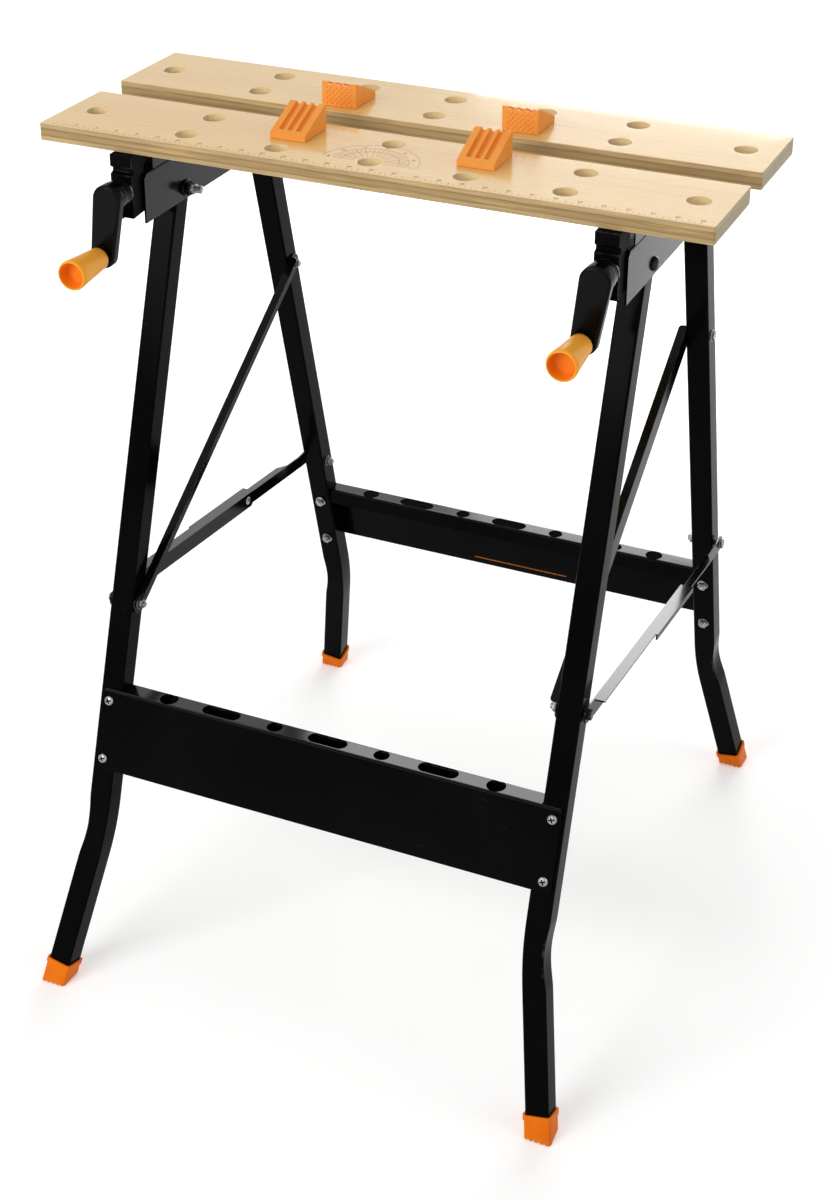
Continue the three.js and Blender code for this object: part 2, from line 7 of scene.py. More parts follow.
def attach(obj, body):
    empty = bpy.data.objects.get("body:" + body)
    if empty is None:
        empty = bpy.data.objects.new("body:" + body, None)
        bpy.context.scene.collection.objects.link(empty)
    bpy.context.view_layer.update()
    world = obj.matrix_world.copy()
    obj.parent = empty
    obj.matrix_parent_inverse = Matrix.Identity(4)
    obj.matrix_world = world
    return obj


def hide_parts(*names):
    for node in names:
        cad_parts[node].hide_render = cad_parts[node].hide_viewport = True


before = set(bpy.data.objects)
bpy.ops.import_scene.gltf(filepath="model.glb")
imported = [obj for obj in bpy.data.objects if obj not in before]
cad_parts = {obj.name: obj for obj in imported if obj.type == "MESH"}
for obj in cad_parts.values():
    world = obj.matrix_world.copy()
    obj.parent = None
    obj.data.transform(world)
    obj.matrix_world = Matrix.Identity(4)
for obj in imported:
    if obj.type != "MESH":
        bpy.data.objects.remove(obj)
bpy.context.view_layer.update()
scene = bpy.context.scene
mm = 0.001
inMm = Matrix.Scale(mm, 4)
sides = (("left", -1), ("right", 1))
print("frame loaded with", len(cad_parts), "nodes")


# shader maths: a wrapped socket that adds its own nodes
def operatorNode(operation, reflected=False):
    def combine(wire, other):
        first, second = (other, wire) if reflected else (wire, other)
        return wire.node("Math", {"operation": operation}, {0: first, 1: second})
    return combine


class Wire:
    def __init__(self, tree, socket=None):
        self.tree = tree
        self.socket = socket

    def node(self, kind, settings=None, links=None, out=0):
        made = self.tree.nodes.new("ShaderNode" + kind)
        for key, value in (settings or {}).items():
            if key == "stops":
                ramp = made.color_ramp
                while len(ramp.elements) < len(value):
                    ramp.elements.new(0.5)
                for element, (position, colour) in zip(ramp.elements, value):
                    element.position = position
                    element.color = (*colour, 1)
            else:
                setattr(made, key, value)
        for key, value in (links or {}).items():
            if isinstance(value, Wire):
                self.tree.links.new(value.socket, made.inputs[key])
            elif made.inputs[key].type == "RGBA":
                made.inputs[key].default_value = (*value, 1)
            else:
                made.inputs[key].default_value = value
        return Wire(self.tree, made.outputs[out] if len(made.outputs) else None)

    __add__ = operatorNode("ADD")
    __radd__ = operatorNode("ADD", True)
    __sub__ = operatorNode("SUBTRACT")
    __rsub__ = operatorNode("SUBTRACT", True)
    __mul__ = operatorNode("MULTIPLY")
    __rmul__ = operatorNode("MULTIPLY", True)
    __truediv__ = operatorNode("DIVIDE")


def blendColours(factor, first, second):
    return factor.node("Mix", {"data_type": "RGBA"}, {0: factor, 6: first, 7: second}, out=2)


def layered(colour, *coats):
    for factor, coat in coats:
        colour = blendColours(factor, colour, coat)
    return colour


def fade(value, low, high):
    return value.node("MapRange", {"interpolation_type": "SMOOTHSTEP"},
                      {"Value": value, "From Min": low, "From Max": high})


def cloud(place, scale, detail, stretch=None, shift=(0, 0, 0), rough=0.5):
    spot = place
    if stretch:
        spot = place.node("Mapping", None, {"Vector": place, "Location": shift, "Scale": stretch})
    return place.node("TexNoise", None,
                      {"Vector": spot, "Scale": scale, "Detail": detail, "Roughness": rough})


def axesOf(vector):
    split = vector.node("SeparateXYZ", None, {0: vector}).socket.node
    return [Wire(vector.tree, output) for output in split.outputs]


def normalAxes(place):
    return axesOf(place.node("TexCoord", out="Normal"))


# rubbed edges: a face attribute that the mesh helpers write, broken up by noise
def rubbedEdges(place, low, high, scale=140):
    worn = place.node("Attribute", {"attribute_name": "edgeWear"}, out="Fac")
    return worn * fade(cloud(place, scale, 4), low, high)


# walls of holes and dishes: a face attribute that the piece's own code writes; the finishes paint light
# onto the jaws' hole walls and paint shade into the grip's dish and the screws' cross
def hollowWalls(place):
    return place.node("Attribute", {"attribute_name": "hollow"}, out="Fac")


def startSurface(name):
    material = bpy.data.materials.new(name)
    material.use_nodes = True
    material.node_tree.nodes.clear()
    start = Wire(material.node_tree)
    return material, start.node("TexCoord", out="Object")


def endSurface(material, place, sockets, height, strength, distance):
    sockets["Normal"] = place.node("Bump", None,
                                   {"Strength": strength, "Distance": distance, "Height": height})
    shader = place.node("BsdfPrincipled", None, sockets)
    place.node("OutputMaterial", None, {"Surface": shader})
    return material


# gloss black enamel over pressed steel, with a clear coat on faces that look up
enamelSet = {
    "colour": (0.0008, 0.0009, 0.0009), "bloom": (0.0018, 0.0020, 0.0020), "gloss": 0.09, "haze": 0.09,
    "pool": 0.9, "poolGloss": 0.14, "peel": 900, "rub": (0.06, 0.06, 0.062),
    "scratch": (0.016, 0.016, 0.017)}


def blackEnamel(name, sheen):
    material, place = startSurface(name)
    upward = normalAxes(place)[2]
    broad = cloud(place, 9, 4)
    fine = cloud(place, 160, 2)
    peel = cloud(place, enamelSet["peel"], 1)
    specks = fade(cloud(place, 520, 1), 0.70, 0.78)
    lines = fade(cloud(place, 1.0, 2, (60, 1400, 220), (0.2, 0, 0)), 0.70, 0.75) * fade(broad, 0.5, 0.65)
    edges = rubbedEdges(place, 0.46, 0.66)
    colour = layered(enamelSet["colour"], (fade(broad, 0.35, 0.75), enamelSet["bloom"]),
                     (specks * 0.3, enamelSet["scratch"]), (lines * 0.6, enamelSet["scratch"]),
                     (edges * 0.7, enamelSet["rub"]))
    rough = enamelSet["gloss"] + enamelSet["haze"] * fade(broad, 0.3, 0.8)
    rough = rough + 0.05 * fine + 0.2 * edges + 0.12 * lines
    return endSurface(material, place, {
        "Base Color": colour, "Roughness": rough, "Specular IOR Level": sheen,
        "Coat Weight": enamelSet["pool"] * fade(upward, 0.8, 0.96),
        "Coat Roughness": enamelSet["poolGloss"],
    }, peel + 0.4 * broad - 0.3 * lines, 0.06, 0.0002)


# lacquered plywood, its long grain on X and its plies stacked on Z
plySet = {
    "pale": (0.81, 0.52, 0.165), "warm": (0.72, 0.44, 0.14), "streak": (0.55, 0.305, 0.095),
    "bright": (0.85, 0.59, 0.235), "pore": (0.27, 0.16, 0.064), "bore": (0.88, 0.68, 0.38),
    "endGrain": (0.46, 0.43, 0.33), "low": 0.7835, "thick": 0.0155, "lacquer": 0.75, "lacquerGloss": 0.08,
    "plies": [(0.0, (0.51, 0.37, 0.19)), (0.27, (0.48, 0.34, 0.17)), (0.295, (0.22, 0.13, 0.05)),
    (0.33, (0.38, 0.25, 0.11)), (0.50, (0.43, 0.30, 0.14)), (0.655, (0.37, 0.24, 0.105)),
    (0.69, (0.23, 0.135, 0.052)), (0.72, (0.48, 0.34, 0.17)), (0.91, (0.52, 0.375, 0.20)),
    (0.935, (0.34, 0.22, 0.095)), (0.96, (0.62, 0.46, 0.25)), (1.0, (0.72, 0.53, 0.285))]}


def lacqueredPly(name, shift):
    material, place = startSurface(name)
    _, y, z = axesOf(place)
    endward, _, upward = normalAxes(place)
    wander = cloud(place, 1.0, 3, (2.2, 9, 1), (shift, 0.3, 0))
    bands = y * 95 + wander * 9.0 + shift * 3
    rings = bands.node("Math", {"operation": "SINE"}, {0: bands})
    fibre = cloud(place, 1.0, 5, (26, 900, 900), (shift, 0, 0), 0.6)
    streaks = cloud(place, 1.0, 4, (5, 120, 60), (shift * 2, 1, 0))
    patch = cloud(place, 7, 2, (1, 1.6, 1), (shift, shift, 0))
    flecks = fade(cloud(place, 1.0, 2, (90, 2600, 10), (0, shift, 0)), 0.66, 0.74)
    streak, bright = plySet["streak"], plySet["bright"]
    face = layered(plySet["pale"], (fade(rings * 0.5 + 0.5, 0.1, 1.0) * 0.30, plySet["warm"]),
                   (fade(streaks, 0.52, 0.75) * 0.30, streak), (fade(patch, 0.4, 0.7) * 0.25, bright),
                   (flecks * 0.25, streak), (fade(fibre, 0.45, 0.7) * 0.16, streak))
    # edge of the board: three plies and their glue lines, wandering a little
    sway = (cloud(place, 26, 2) - 0.5) * 0.05
    level = (z - plySet["low"]) / plySet["thick"] + sway
    plies = level.node("ValToRGB", {"stops": plySet["plies"]}, {0: level})
    pores = cloud(place, 1.0, 5, (22, 22, 520), (shift, 0, 0.5), 0.68)
    grain = cloud(place, 1.0, 4, (14, 14, 320), (0, shift, 0))
    # the walls of the holes are painted paler: painted light that stands in for light falling into the
    # holes
    side = layered(plies, (fade(pores, 0.46, 0.68) * 0.50, plySet["pore"]),
                   (fade(grain, 0.5, 0.72) * 0.30, bright), (hollowWalls(place) * 0.75, plySet["bore"]),
                   (fade(endward * endward, 0.5, 0.9) * 0.55, plySet["endGrain"]))
    flat = fade(upward * upward, 0.35, 0.75)
    colour = layered(side, (flat, face), (rubbedEdges(place, 0.42, 0.7, 60) * 0.35, bright))
    rough = 0.24 + 0.10 * fade(fibre, 0.4, 0.7) + 0.30 * (1 - flat)
    height = flat * (fibre * 0.6 - flecks * 0.5) + (1 - flat) * pores
    return endSurface(material, place, {
        "Base Color": colour, "Roughness": rough, "Specular IOR Level": 0.16,
        "Coat Weight": plySet["lacquer"] * flat, "Coat Roughness": plySet["lacquerGloss"],
    }, height, 0.16, 0.0003)


# moulded plastics; shade dims the walls of a dish
mouldSet = {
    "dog": (0.93, 0.365, 0.066), "dogDeep": (0.88, 0.285, 0.036), "grip": (1.0, 0.46, 0.05),
    "gripDeep": (0.98, 0.37, 0.022), "boot": (0.86, 0.185, 0.003), "bootDeep": (0.66, 0.115, 0.002),
    "black": (0.0016, 0.0016, 0.0017), "blackDeep": (0.0032, 0.0031, 0.0031), "shade": (0.92, 0.62, 0.5)}


def mouldedPlastic(name, stem, gloss, specular, texture, scuff=0.0):
    material, place = startSurface(name)
    colour, deep = mouldSet[stem], mouldSet[stem + "Deep"]
    shaded = tuple(c * share for c, share in zip(deep, mouldSet["shade"]))
    scuffed = tuple(min(1, 0.6 * c + 0.3) for c in colour)
    worn = tuple(min(1, 0.75 * c + 0.16) for c in colour)
    flow = cloud(place, 34, 3)
    skin = cloud(place, texture, 2)
    rubbed = fade(cloud(place, 75, 4), 0.58, 0.74)
    tone = layered(colour, (fade(flow, 0.3, 0.75) * 0.6, deep), (hollowWalls(place) * 0.9, shaded),
                   (rubbed * scuff, scuffed), (rubbedEdges(place, 0.4, 0.7, 90) * 0.3, worn))
    rough = gloss + 0.10 * fade(flow, 0.3, 0.7) + 0.06 * skin + 0.12 * scuff * rubbed
    return endSurface(material, place, {
        "Base Color": tone, "Roughness": rough, "Specular IOR Level": specular,
    }, skin + 0.5 * flow, 0.10, 0.0002)


# bright zinc plate and rolled steel
def platedSteel(name, colour, gloss, tint):
    material, place = startSurface(name)
    haze = cloud(place, 220, 3)
    marks = cloud(place, 1.0, 3, (500, 500, 60))
    shaded = tuple(0.06 * c for c in tint)
    tone = layered(colour, (fade(haze, 0.35, 0.7), tint), (hollowWalls(place), shaded))
    rough = gloss + 0.16 * fade(haze, 0.35, 0.75) + 0.06 * marks
    return endSurface(material, place, {
        "Base Color": tone, "Roughness": rough, "Metallic": 1.0,
    }, marks + haze, 0.12, 0.00015)


def inkMark(name, colour, gloss):
    material, place = startSurface(name)
    broken = fade(cloud(place, 900, 3), 0.35, 0.62)
    tone = blendColours(broken, colour, tuple(0.55 * c for c in colour))
    return endSurface(material, place, {
        "Base Color": tone, "Roughness": gloss + 0.1 * broken, "Specular IOR Level": 0.1,
    }, broken, 0.05, 0.0001)


legEnamel = blackEnamel("legEnamel", 0.022)
beamEnamel = blackEnamel("beamEnamel", 0.03)
railEnamel = blackEnamel("railEnamel", 0.12)
braceEnamel = blackEnamel("braceEnamel", 0.07)
plyFront = lacqueredPly("frontJawPly", 1.7)
plyRear = lacqueredPly("rearJawPly", 4.4)
dogOrange = mouldedPlastic("dogOrange", "dog", 0.42, 0.15, 1500, 0.08)
gripOrange = mouldedPlastic("gripOrange", "grip", 0.30, 0.10, 1100, 0.03)
bootOrange = mouldedPlastic("bootOrange", "boot", 0.38, 0.09, 1300, 0.05)
crankBlack = mouldedPlastic("crankBlack", "black", 0.10, 0.07, 900)
blockBlack = mouldedPlastic("blockBlack", "black", 0.44, 0.022, 1400)
zincPlate = platedSteel("zincPlate", (0.37, 0.375, 0.38), 0.20, (0.20, 0.204, 0.21))
zincDull = platedSteel("zincDull", (0.24, 0.245, 0.25), 0.30, (0.12, 0.122, 0.125))
spindleSteel = platedSteel("spindleSteel", (0.30, 0.305, 0.31), 0.28, (0.17, 0.172, 0.175))
boltBlack = platedSteel("boltBlack", (0.026, 0.026, 0.027), 0.26, (0.014, 0.014, 0.015))
burntInk = inkMark("burntScale", (0.24, 0.105, 0.032), 0.5)
stripeInk = inkMark("orangeStripe", (0.50, 0.13, 0.012), 0.35)
print("materials made")


# mesh helpers: local millimetres are placed into metres by a matrix
sharpAngle = 38  # degrees past which an edge stays crisp


def shadeByAngle(mesh, degrees=sharpAngle):
    mesh.polygons.foreach_set("use_smooth", [True] * len(mesh.polygons))
    mesh.set_sharp_from_angle(angle=radians(degrees))


def writeFaces(mesh, name, values):
    mesh.attributes.new(name, "FLOAT", "FACE").data.foreach_set("value", values)


# narrow faces along rolled and cut edges are marked for the rubbed look
def markEdges(mesh, widest=1.0):
    values = []
    for face in mesh.polygons:
        longest = max((mesh.vertices[a].co - mesh.vertices[b].co).length for a, b in face.edge_keys)
        values.append(float(face.area < longest * widest * mm))
    writeFaces(mesh, "edgeWear", values)


def markHollow(mesh, inside):
    writeFaces(mesh, "hollow", [float(inside(face.center / mm, face.normal)) for face in mesh.polygons])


def addObject(name, data):
    made = bpy.data.objects.new(name, data)
    scene.collection.objects.link(made)
    return made


def makeObject(name, bm, material, smooth=sharpAngle):
    bmesh.ops.recalc_face_normals(bm, faces=bm.faces)
    mesh = bpy.data.meshes.new(name)
    bm.to_mesh(mesh)
    bm.free()
    mesh.materials.append(material)
    shadeByAngle(mesh, smooth)
    return addObject(name, mesh)


def solvedMesh(piece):
    return bpy.data.meshes.new_from_object(piece.evaluated_get(bpy.context.evaluated_depsgraph_get()))


def applyModifiers(piece):
    mesh = solvedMesh(piece)
    piece.modifiers.clear()
    old = piece.data
    piece.data = mesh
    mesh.name = piece.name
    bpy.data.meshes.remove(old)


# wide faces keep their own normal beside rolled edges
def flatNormals(piece):
    even = piece.modifiers.new("flat", "WEIGHTED_NORMAL")
    even.keep_sharp = True
    applyModifiers(piece)


def easeEdges(piece, width, segments=2, angle=sharpAngle, smooth=sharpAngle):
    bevel = piece.modifiers.new("ease", "BEVEL")
    bevel.width = width * mm
    bevel.segments = segments
    bevel.limit_method = "ANGLE"
    bevel.angle_limit = radians(angle)
    applyModifiers(piece)
    shadeByAngle(piece.data, smooth)


def carve(piece, cutter):
    cut = piece.modifiers.new("carve", "BOOLEAN")
    cut.operation = "DIFFERENCE"
    cut.solver = "EXACT"
    cut.use_self = True
    cut.object = cutter
    applyModifiers(piece)
    bpy.data.objects.remove(cutter)


def settle(piece, body, nodes=()):
    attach(piece, body)
    if nodes:
        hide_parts(*nodes)


def wallFaces(bm, rows):
    for low, high in zip(rows, rows[1:]):
        for i in range(len(low)):
            j = (i + 1) % len(low)
            bm.faces.new((low[i], low[j], high[j], high[i]))


def loft(bm, rings, place):
    rows = [[bm.verts.new(place @ Vector(p)) for p in ring] for ring in rings]
    wallFaces(bm, rows)
    bm.faces.new(rows[0][::-1])
    bm.faces.new(rows[-1])


# points of a circle, run backward by a way of -1
def circle(radius, count, way=1):
    angles = [way * 2 * pi * k / count for k in range(count)]
    return [(radius * cos(a), radius * sin(a)) for a in angles]


# turned shape on the local z axis from (station, radius) pairs
def turned(bm, profile, place, count):
    loft(bm, [[(x, y, z) for x, y in circle(r, count)] for z, r in profile], place)


def hexagon(bm, r, low, high, place, chamfer=0.5):
    levels = [(low, r * 0.93), (low + chamfer, r), (high - chamfer, r), (high, r * 0.90)]
    turned(bm, levels, place, 6)


def roundedBox(x0, y0, x1, y1, r, steps):
    corners = ((x1 - r, y0 + r, -90), (x1 - r, y1 - r, 0), (x0 + r, y1 - r, 90), (x0 + r, y0 + r, 180))
    loop = []
    for cx, cy, start in corners:
        for k in range(steps + 1):
            a = radians(start + 90 * k / steps)
            loop.append((cx + r * cos(a), cy + r * sin(a)))
    return loop


# rings of a flat outline at stations along one axis
def slab(loop, stations, axis=2):
    return [[(*p[:axis], s, *p[axis:]) for p in loop] for s in stations]


# outline drawn in by a distance, its points as complex numbers
def inset(loop, d):
    spots = [complex(*p) for p in loop]
    out = []
    for i, spot in enumerate(spots):
        back, on = spot - spots[i - 1], spots[(i + 1) % len(spots)] - spot
        lean = 1j * (back / (abs(back) or 1) + on / (abs(on) or 1))
        spot += lean * 2 * d / max(abs(lean) ** 2, 0.2)
        out.append((spot.real, spot.imag))
    return out


# flat plate with holes and rolled edges: first loop outward, the others run backward
def rolledPlate(bm, loops, low, high, ease, place, steps=3):
    levels = []
    for k in range(steps, -1, -1):
        a = pi / 2 * k / steps
        levels.append((low + ease * (1 - sin(a)), ease * (1 - cos(a))))
    levels += [(high - (z - low), d) for z, d in reversed(levels)]
    bottom, top = [], []
    for loop in loops:
        rows = [[bm.verts.new(place @ Vector((x, y, z))) for x, y in inset(loop, d)] for z, d in levels]
        wallFaces(bm, rows)
        count = len(loop)
        for group, row in ((bottom, rows[0]), (top, rows[-1])):
            group += [bm.edges.get((row[i], row[(i + 1) % count])) for i in range(count)]
    for group in (bottom, top):
        bmesh.ops.triangle_fill(bm, use_beauty=True, use_dissolve=False, edges=group)


def placed(x, y, z):
    return inMm @ Matrix.Translation((x, y, z))


def spun(angle, axis):
    return Matrix.Rotation(angle, 4, axis)


def axisPlace(origin, axis):
    return placed(*origin) @ Vector(axis).to_track_quat("Z", "Y").to_matrix().to_4x4()


# the turn that brings an instance's z axis to a way
def facing(way):
    return Vector(way).to_track_quat("Z", "Y").to_euler()


def camel(words):
    first, *rest = words.split("_")
    return first + "".join(word.title() for word in rest)


# a merged copy of a CAD node with its sharp edges rolled over
def easedNode(name, node, material, body, width, segments, smooth=sharpAngle):
    bm = bmesh.new()
    bm.from_mesh(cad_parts[node].data)
    bmesh.ops.remove_doubles(bm, verts=bm.verts, dist=2e-6)
    bmesh.ops.dissolve_limit(bm, angle_limit=radians(0.6), verts=bm.verts, edges=bm.edges)
    piece = makeObject(name, bm, material)
    easeEdges(piece, width, segments, smooth=smooth)
    markEdges(piece.data)
    flatNormals(piece)
    settle(piece, body, [node])


# leg frames: local y across the leg, local z up along it, the pivot at the origin
legSet = {
    "pivotZ": 728, "x": 218.75, "size": 22, "corner": 2.0, "cornerSteps": 5, "top": 8, "straight": 40,
    "bendZ": 152, "bendRadius": 380, "splay": 9.8, "bendRings": 26, "bendLead": 6, "footGap": 6,
    "dent": 2.8, "swell": 0.045, "smooth": 30, "wear": 0.55,
    "front": {"y": -66, "run": 236.5, "turn": -1}, "rear": {"y": 100, "run": 202.5, "turn": 1}}
bootSet = {"ease": 0.5, "segments": 2, "smooth": 50}
pairs = ("front", "rear")


def legTilt(pair):
    return atan(legSet[pair]["run"] / legSet["pivotZ"])


def legPlace(pair):
    spot = legSet[pair]
    return placed(0, spot["y"], legSet["pivotZ"]) @ spun(spot["turn"] * legTilt(pair), "X")


# y and z of the middle line of a leg at a height
def onLeg(pair, height):
    spot = legSet[pair]
    return spot["y"] + spot["turn"] * spot["run"] * (1 - height / legSet["pivotZ"]), height


def tubeLeg(pair, label, side):
    cosTilt = cos(legTilt(pair))
    splay, radius = radians(legSet["splay"]), legSet["bendRadius"]
    arc, lead = radius * splay, radius * tan(splay / 2)
    start = (legSet["pivotZ"] - legSet["bendZ"]) / cosTilt - lead
    floor = start + arc + (legSet["bendZ"] / cosTilt - lead) / cos(splay)
    half, count, beside = legSet["size"] / 2, legSet["bendRings"], legSet["bendLead"]
    section = roundedBox(-half, -half, half, half, legSet["corner"], legSet["cornerSteps"])
    drops = [-legSet["top"], legSet["straight"], start - beside]
    drops += [start + arc * k / count for k in range(count + 1)]
    drops += [start + arc + beside, floor - legSet["footGap"]]
    rings = []
    for drop in reversed(drops):
        into = max(drop - start, 0)
        angle = min(into / radius, splay)
        past = max(into - arc, 0)
        out = radius * (1 - cos(angle)) + past * sin(angle)
        z = -min(drop, start) - radius * sin(angle) - past * cos(angle)
        x = side * (legSet["x"] + out)
        # the hollow side of the bend is pressed in and the tube swells beside it
        crush = sin(pi * min(into / arc, 1)) ** 1.4
        ring = []
        for p, q in section:
            if p * side > 0:
                p -= side * legSet["dent"] * crush * (p * side / half) * (1.12 - 0.3 * (q / half) ** 2)
            q *= 1 + legSet["swell"] * crush
            ring.append((x + p * cos(angle), q, z + side * p * sin(angle)))
        rings.append(ring)
    bm = bmesh.new()
    loft(bm, rings, legPlace(pair))
    node = f"{pair}_leg_{label}"
    leg = makeObject(camel(node), bm, legEnamel, legSet["smooth"])
    markEdges(leg.data, legSet["wear"])
    flatNormals(leg)
    settle(leg, f"{pair}_legs", [node])


for pair in pairs:
    for label, side in sides:
        tubeLeg(pair, label, side)
        easedNode(f"{pair}Boot{label.title()}", f"foot_{pair}_{label}", bootOrange, f"{pair}_legs",
                  bootSet["ease"], bootSet["segments"], bootSet["smooth"])
print("legs and boots made")


# cross beams: leaning plate, level pierced flange, lip turned down
beamSet = {
    "width": 454, "tall": 76, "flange": 19, "lip": 16, "flangeSpan": 414.4, "sheet": 1.5, "seat": 0.3,
    "bend": 3.0, "bendSteps": 6, "tops": {"front": -470, "rear": -467}, "ease": 0.4, "wear": 0.5,
    "slots": (-107.5, 0, 107.5), "slotLength": 38, "slotWidth": 14.3, "row": 9.8, "cutDeep": 6,
    "holes": ((-162, 17.4), (-53, 14.6), (53, 14.6), (162, 17.4)), "corner": 5, "screwInset": 10}


# section of a bent sheet from the corners of its outer skin
def bentSheet(corners, toward):
    sheet, r, steps = beamSet["sheet"], beamSet["bend"], beamSet["bendSteps"]
    ways = [(b - a).normalized() for a, b in zip(corners, corners[1:])]
    inward = [Vector((toward * w.y, -toward * w.x)) for w in ways]
    outer, inner = [corners[0]], [corners[0] + inward[0] * sheet]
    for k in range(1, len(corners) - 1):
        way, side = ways[k - 1], inward[k - 1]
        turn = way.angle(ways[k])
        middle = corners[k] - way * r * tan(turn / 2) + side * r
        for j in range(steps + 1):
            a = turn * j / steps
            spoke = side * cos(a) - way * sin(a)
            outer.append(middle - spoke * r)
            inner.append(middle - spoke * (r - sheet))
    return outer + [corners[-1], corners[-1] + inward[-1] * sheet] + inner[::-1]


def rackHoles(cut, rack, row):
    ends = (-beamSet["cutDeep"], beamSet["cutDeep"])
    for x, across in beamSet["holes"]:
        turned(cut, [(z, across / 2) for z in ends], rack @ Matrix.Translation((x, row, 0)), 48)
    reach, half = beamSet["slotLength"] / 2, beamSet["slotWidth"] / 2
    for x in beamSet["slots"]:
        loop = roundedBox(x - reach, row - half, x + reach, row + half, half - 0.01, 12)
        loft(cut, slab(loop, ends), rack)


# the flange stops short of the legs, and the plate's corners are cut off
def beamEnds(cut, place, toward, skin, outside, low, top):
    w, f, corner = beamSet["width"] / 2, beamSet["flangeSpan"] / 2, beamSet["corner"]
    ys = sorted((skin, outside + toward * (beamSet["flange"] + 9)))
    for side in (-1, 1):
        near, far = side * f, side * (w + 5)
        box = [(near, ys[0]), (far, ys[0]), (far, ys[1]), (near, ys[1])]
        loft(cut, slab(box, (low - 5, top + 14)), place)
        for end, away in ((low, -1), (top, 1)):
            inner, outer, past = side * (w - corner), side * (w + 3), end + away * 3
            tip = [(inner, past), (outer, past), (outer, end - away * corner)]
            loft(cut, slab(tip, (outside - toward * 4, skin + toward * 4), 1), place)


def pressedBeam(pair):
    toward = -legSet[pair]["turn"]
    place, tilt = legPlace(pair), legTilt(pair)
    top = beamSet["tops"][pair]
    low = top - beamSet["tall"]
    skin = -toward * (legSet["size"] / 2 + beamSet["seat"])
    outside = skin - toward * beamSet["sheet"]
    level = Vector((toward * cos(tilt), sin(tilt)))
    plumb = Vector((toward * sin(tilt), -cos(tilt)))
    crest = Vector((outside, top))
    lip = crest + level * beamSet["flange"]
    profile = bentSheet([Vector((outside, low)), crest, lip, lip + plumb * beamSet["lip"]], toward)
    bm = bmesh.new()
    loft(bm, slab(profile, (-beamSet["width"] / 2, beamSet["width"] / 2), 0), place)
    beam = makeObject(f"{pair}Beam", bm, beamEnamel)
    cut = bmesh.new()
    rack = placed(*(place @ Vector((0, outside, top)) / mm))
    rackHoles(cut, rack, toward * beamSet["row"])
    beamEnds(cut, place, toward, skin, outside, low, top)
    carve(beam, makeObject("beamCutter", cut, beamEnamel))
    easeEdges(beam, beamSet["ease"])
    markEdges(beam.data, beamSet["wear"])
    flatNormals(beam)
    settle(beam, f"{pair}_legs", [f"{pair}_beam"])


for pair in pairs:
    pressedBeam(pair)
print("beams made")


# plywood jaws
jawSet = {
    "length": 605, "depth": 100.5, "top": 799, "low": 783.5, "corner": 2.0, "ease": 0.7, "hole": 20,
    "pairs": (-171.4, -85.7, 0, 85.7, 171.4), "row": 24.5, "end": 274, "frontY": -95.25, "rearY": 39.25,
    "smooth": 32, "wear": 0.5}


def jawBoard(pair, body, material):
    node, middle = pair + "_jaw", jawSet[pair + "Y"]
    x, y = jawSet["length"] / 2, jawSet["depth"] / 2
    spots = [(px, middle + s * jawSet["row"]) for px in jawSet["pairs"] for s in (-1, 1)]
    spots += [(-jawSet["end"], middle), (jawSet["end"], middle)]
    rim = circle(jawSet["hole"] / 2, 56, -1)
    loops = [roundedBox(-x, middle - y, x, middle + y, jawSet["corner"], 4)]
    loops += [[(hx + a, hy + b) for a, b in rim] for hx, hy in spots]

    def insideHole(spot, way):
        return abs(way.z) < 0.5 and abs(spot.x) < x - 1 and abs(spot.y - middle) < y - 1

    bm = bmesh.new()
    rolledPlate(bm, loops, jawSet["low"], jawSet["top"], jawSet["ease"], inMm)
    board = makeObject(camel(node), bm, material, jawSet["smooth"])
    markEdges(board.data, jawSet["wear"])
    markHollow(board.data, insideHole)
    flatNormals(board)
    settle(board, body, [node])


jawBoard("front", "root", plyFront)
jawBoard("rear", "rear_jaw", plyRear)
print("jaws made")


# geometry nodes: one shape set on points, turned and realised
def setOnPoints(name, points, shape, material, turn=(0, 0, 0)):
    tree = bpy.data.node_groups.new(name + "Tree", "GeometryNodeTree")
    for way, label, kind in (("INPUT", "Geometry", "Geometry"), ("INPUT", "Shape", "Object"),
                             ("INPUT", "Turn", "Rotation"), ("INPUT", "Finish", "Material"),
                             ("OUTPUT", "Geometry", "Geometry")):
        tree.interface.new_socket(label, in_out=way, socket_type="NodeSocket" + kind)
    source, sink = tree.nodes.new("NodeGroupInput"), tree.nodes.new("NodeGroupOutput")
    info, spread, real, finish = (tree.nodes.new("GeometryNode" + kind) for kind in (
        "ObjectInfo", "InstanceOnPoints", "RealizeInstances", "SetMaterial"))
    for begin, output, end, socket in (
            (source, "Shape", info, "Object"), (source, "Geometry", spread, "Points"),
            (info, "Geometry", spread, "Instance"), (source, "Turn", spread, "Rotation"),
            (spread, 0, real, 0), (real, 0, finish, "Geometry"),
            (source, "Finish", finish, "Material"), (finish, 0, sink, 0)):
        tree.links.new(begin.outputs[output], end.inputs[socket])
    mesh = bpy.data.meshes.new(name)
    mesh.from_pydata([tuple(Vector(p) * mm) for p in points], [], [])
    piece = addObject(name, mesh)
    modifier = piece.modifiers.new("spread", "NODES")
    modifier.node_group = tree
    values = {"Shape": shape, "Turn": turn, "Finish": material}
    for item in tree.interface.items_tree:
        if item.in_out == "INPUT" and item.name in values:
            modifier[item.identifier] = values[item.name]
    applyModifiers(piece)
    bpy.data.objects.remove(shape)
    shadeByAngle(piece.data)
    return piece


# pan head screws on the local z axis, head up, with washer and nut at the far end
screwSet = {
    "head": 4.6, "crown": 2.7, "shank": 2.5, "nut": 4.7, "nutDeep": 4.0, "washer": 5.6, "grip": 24.5,
    "tail": 5.6, "face": 2.1, "crossLong": 2.8, "crossWide": 0.7, "crossFloor": 1.0, "crossTurn": 20}


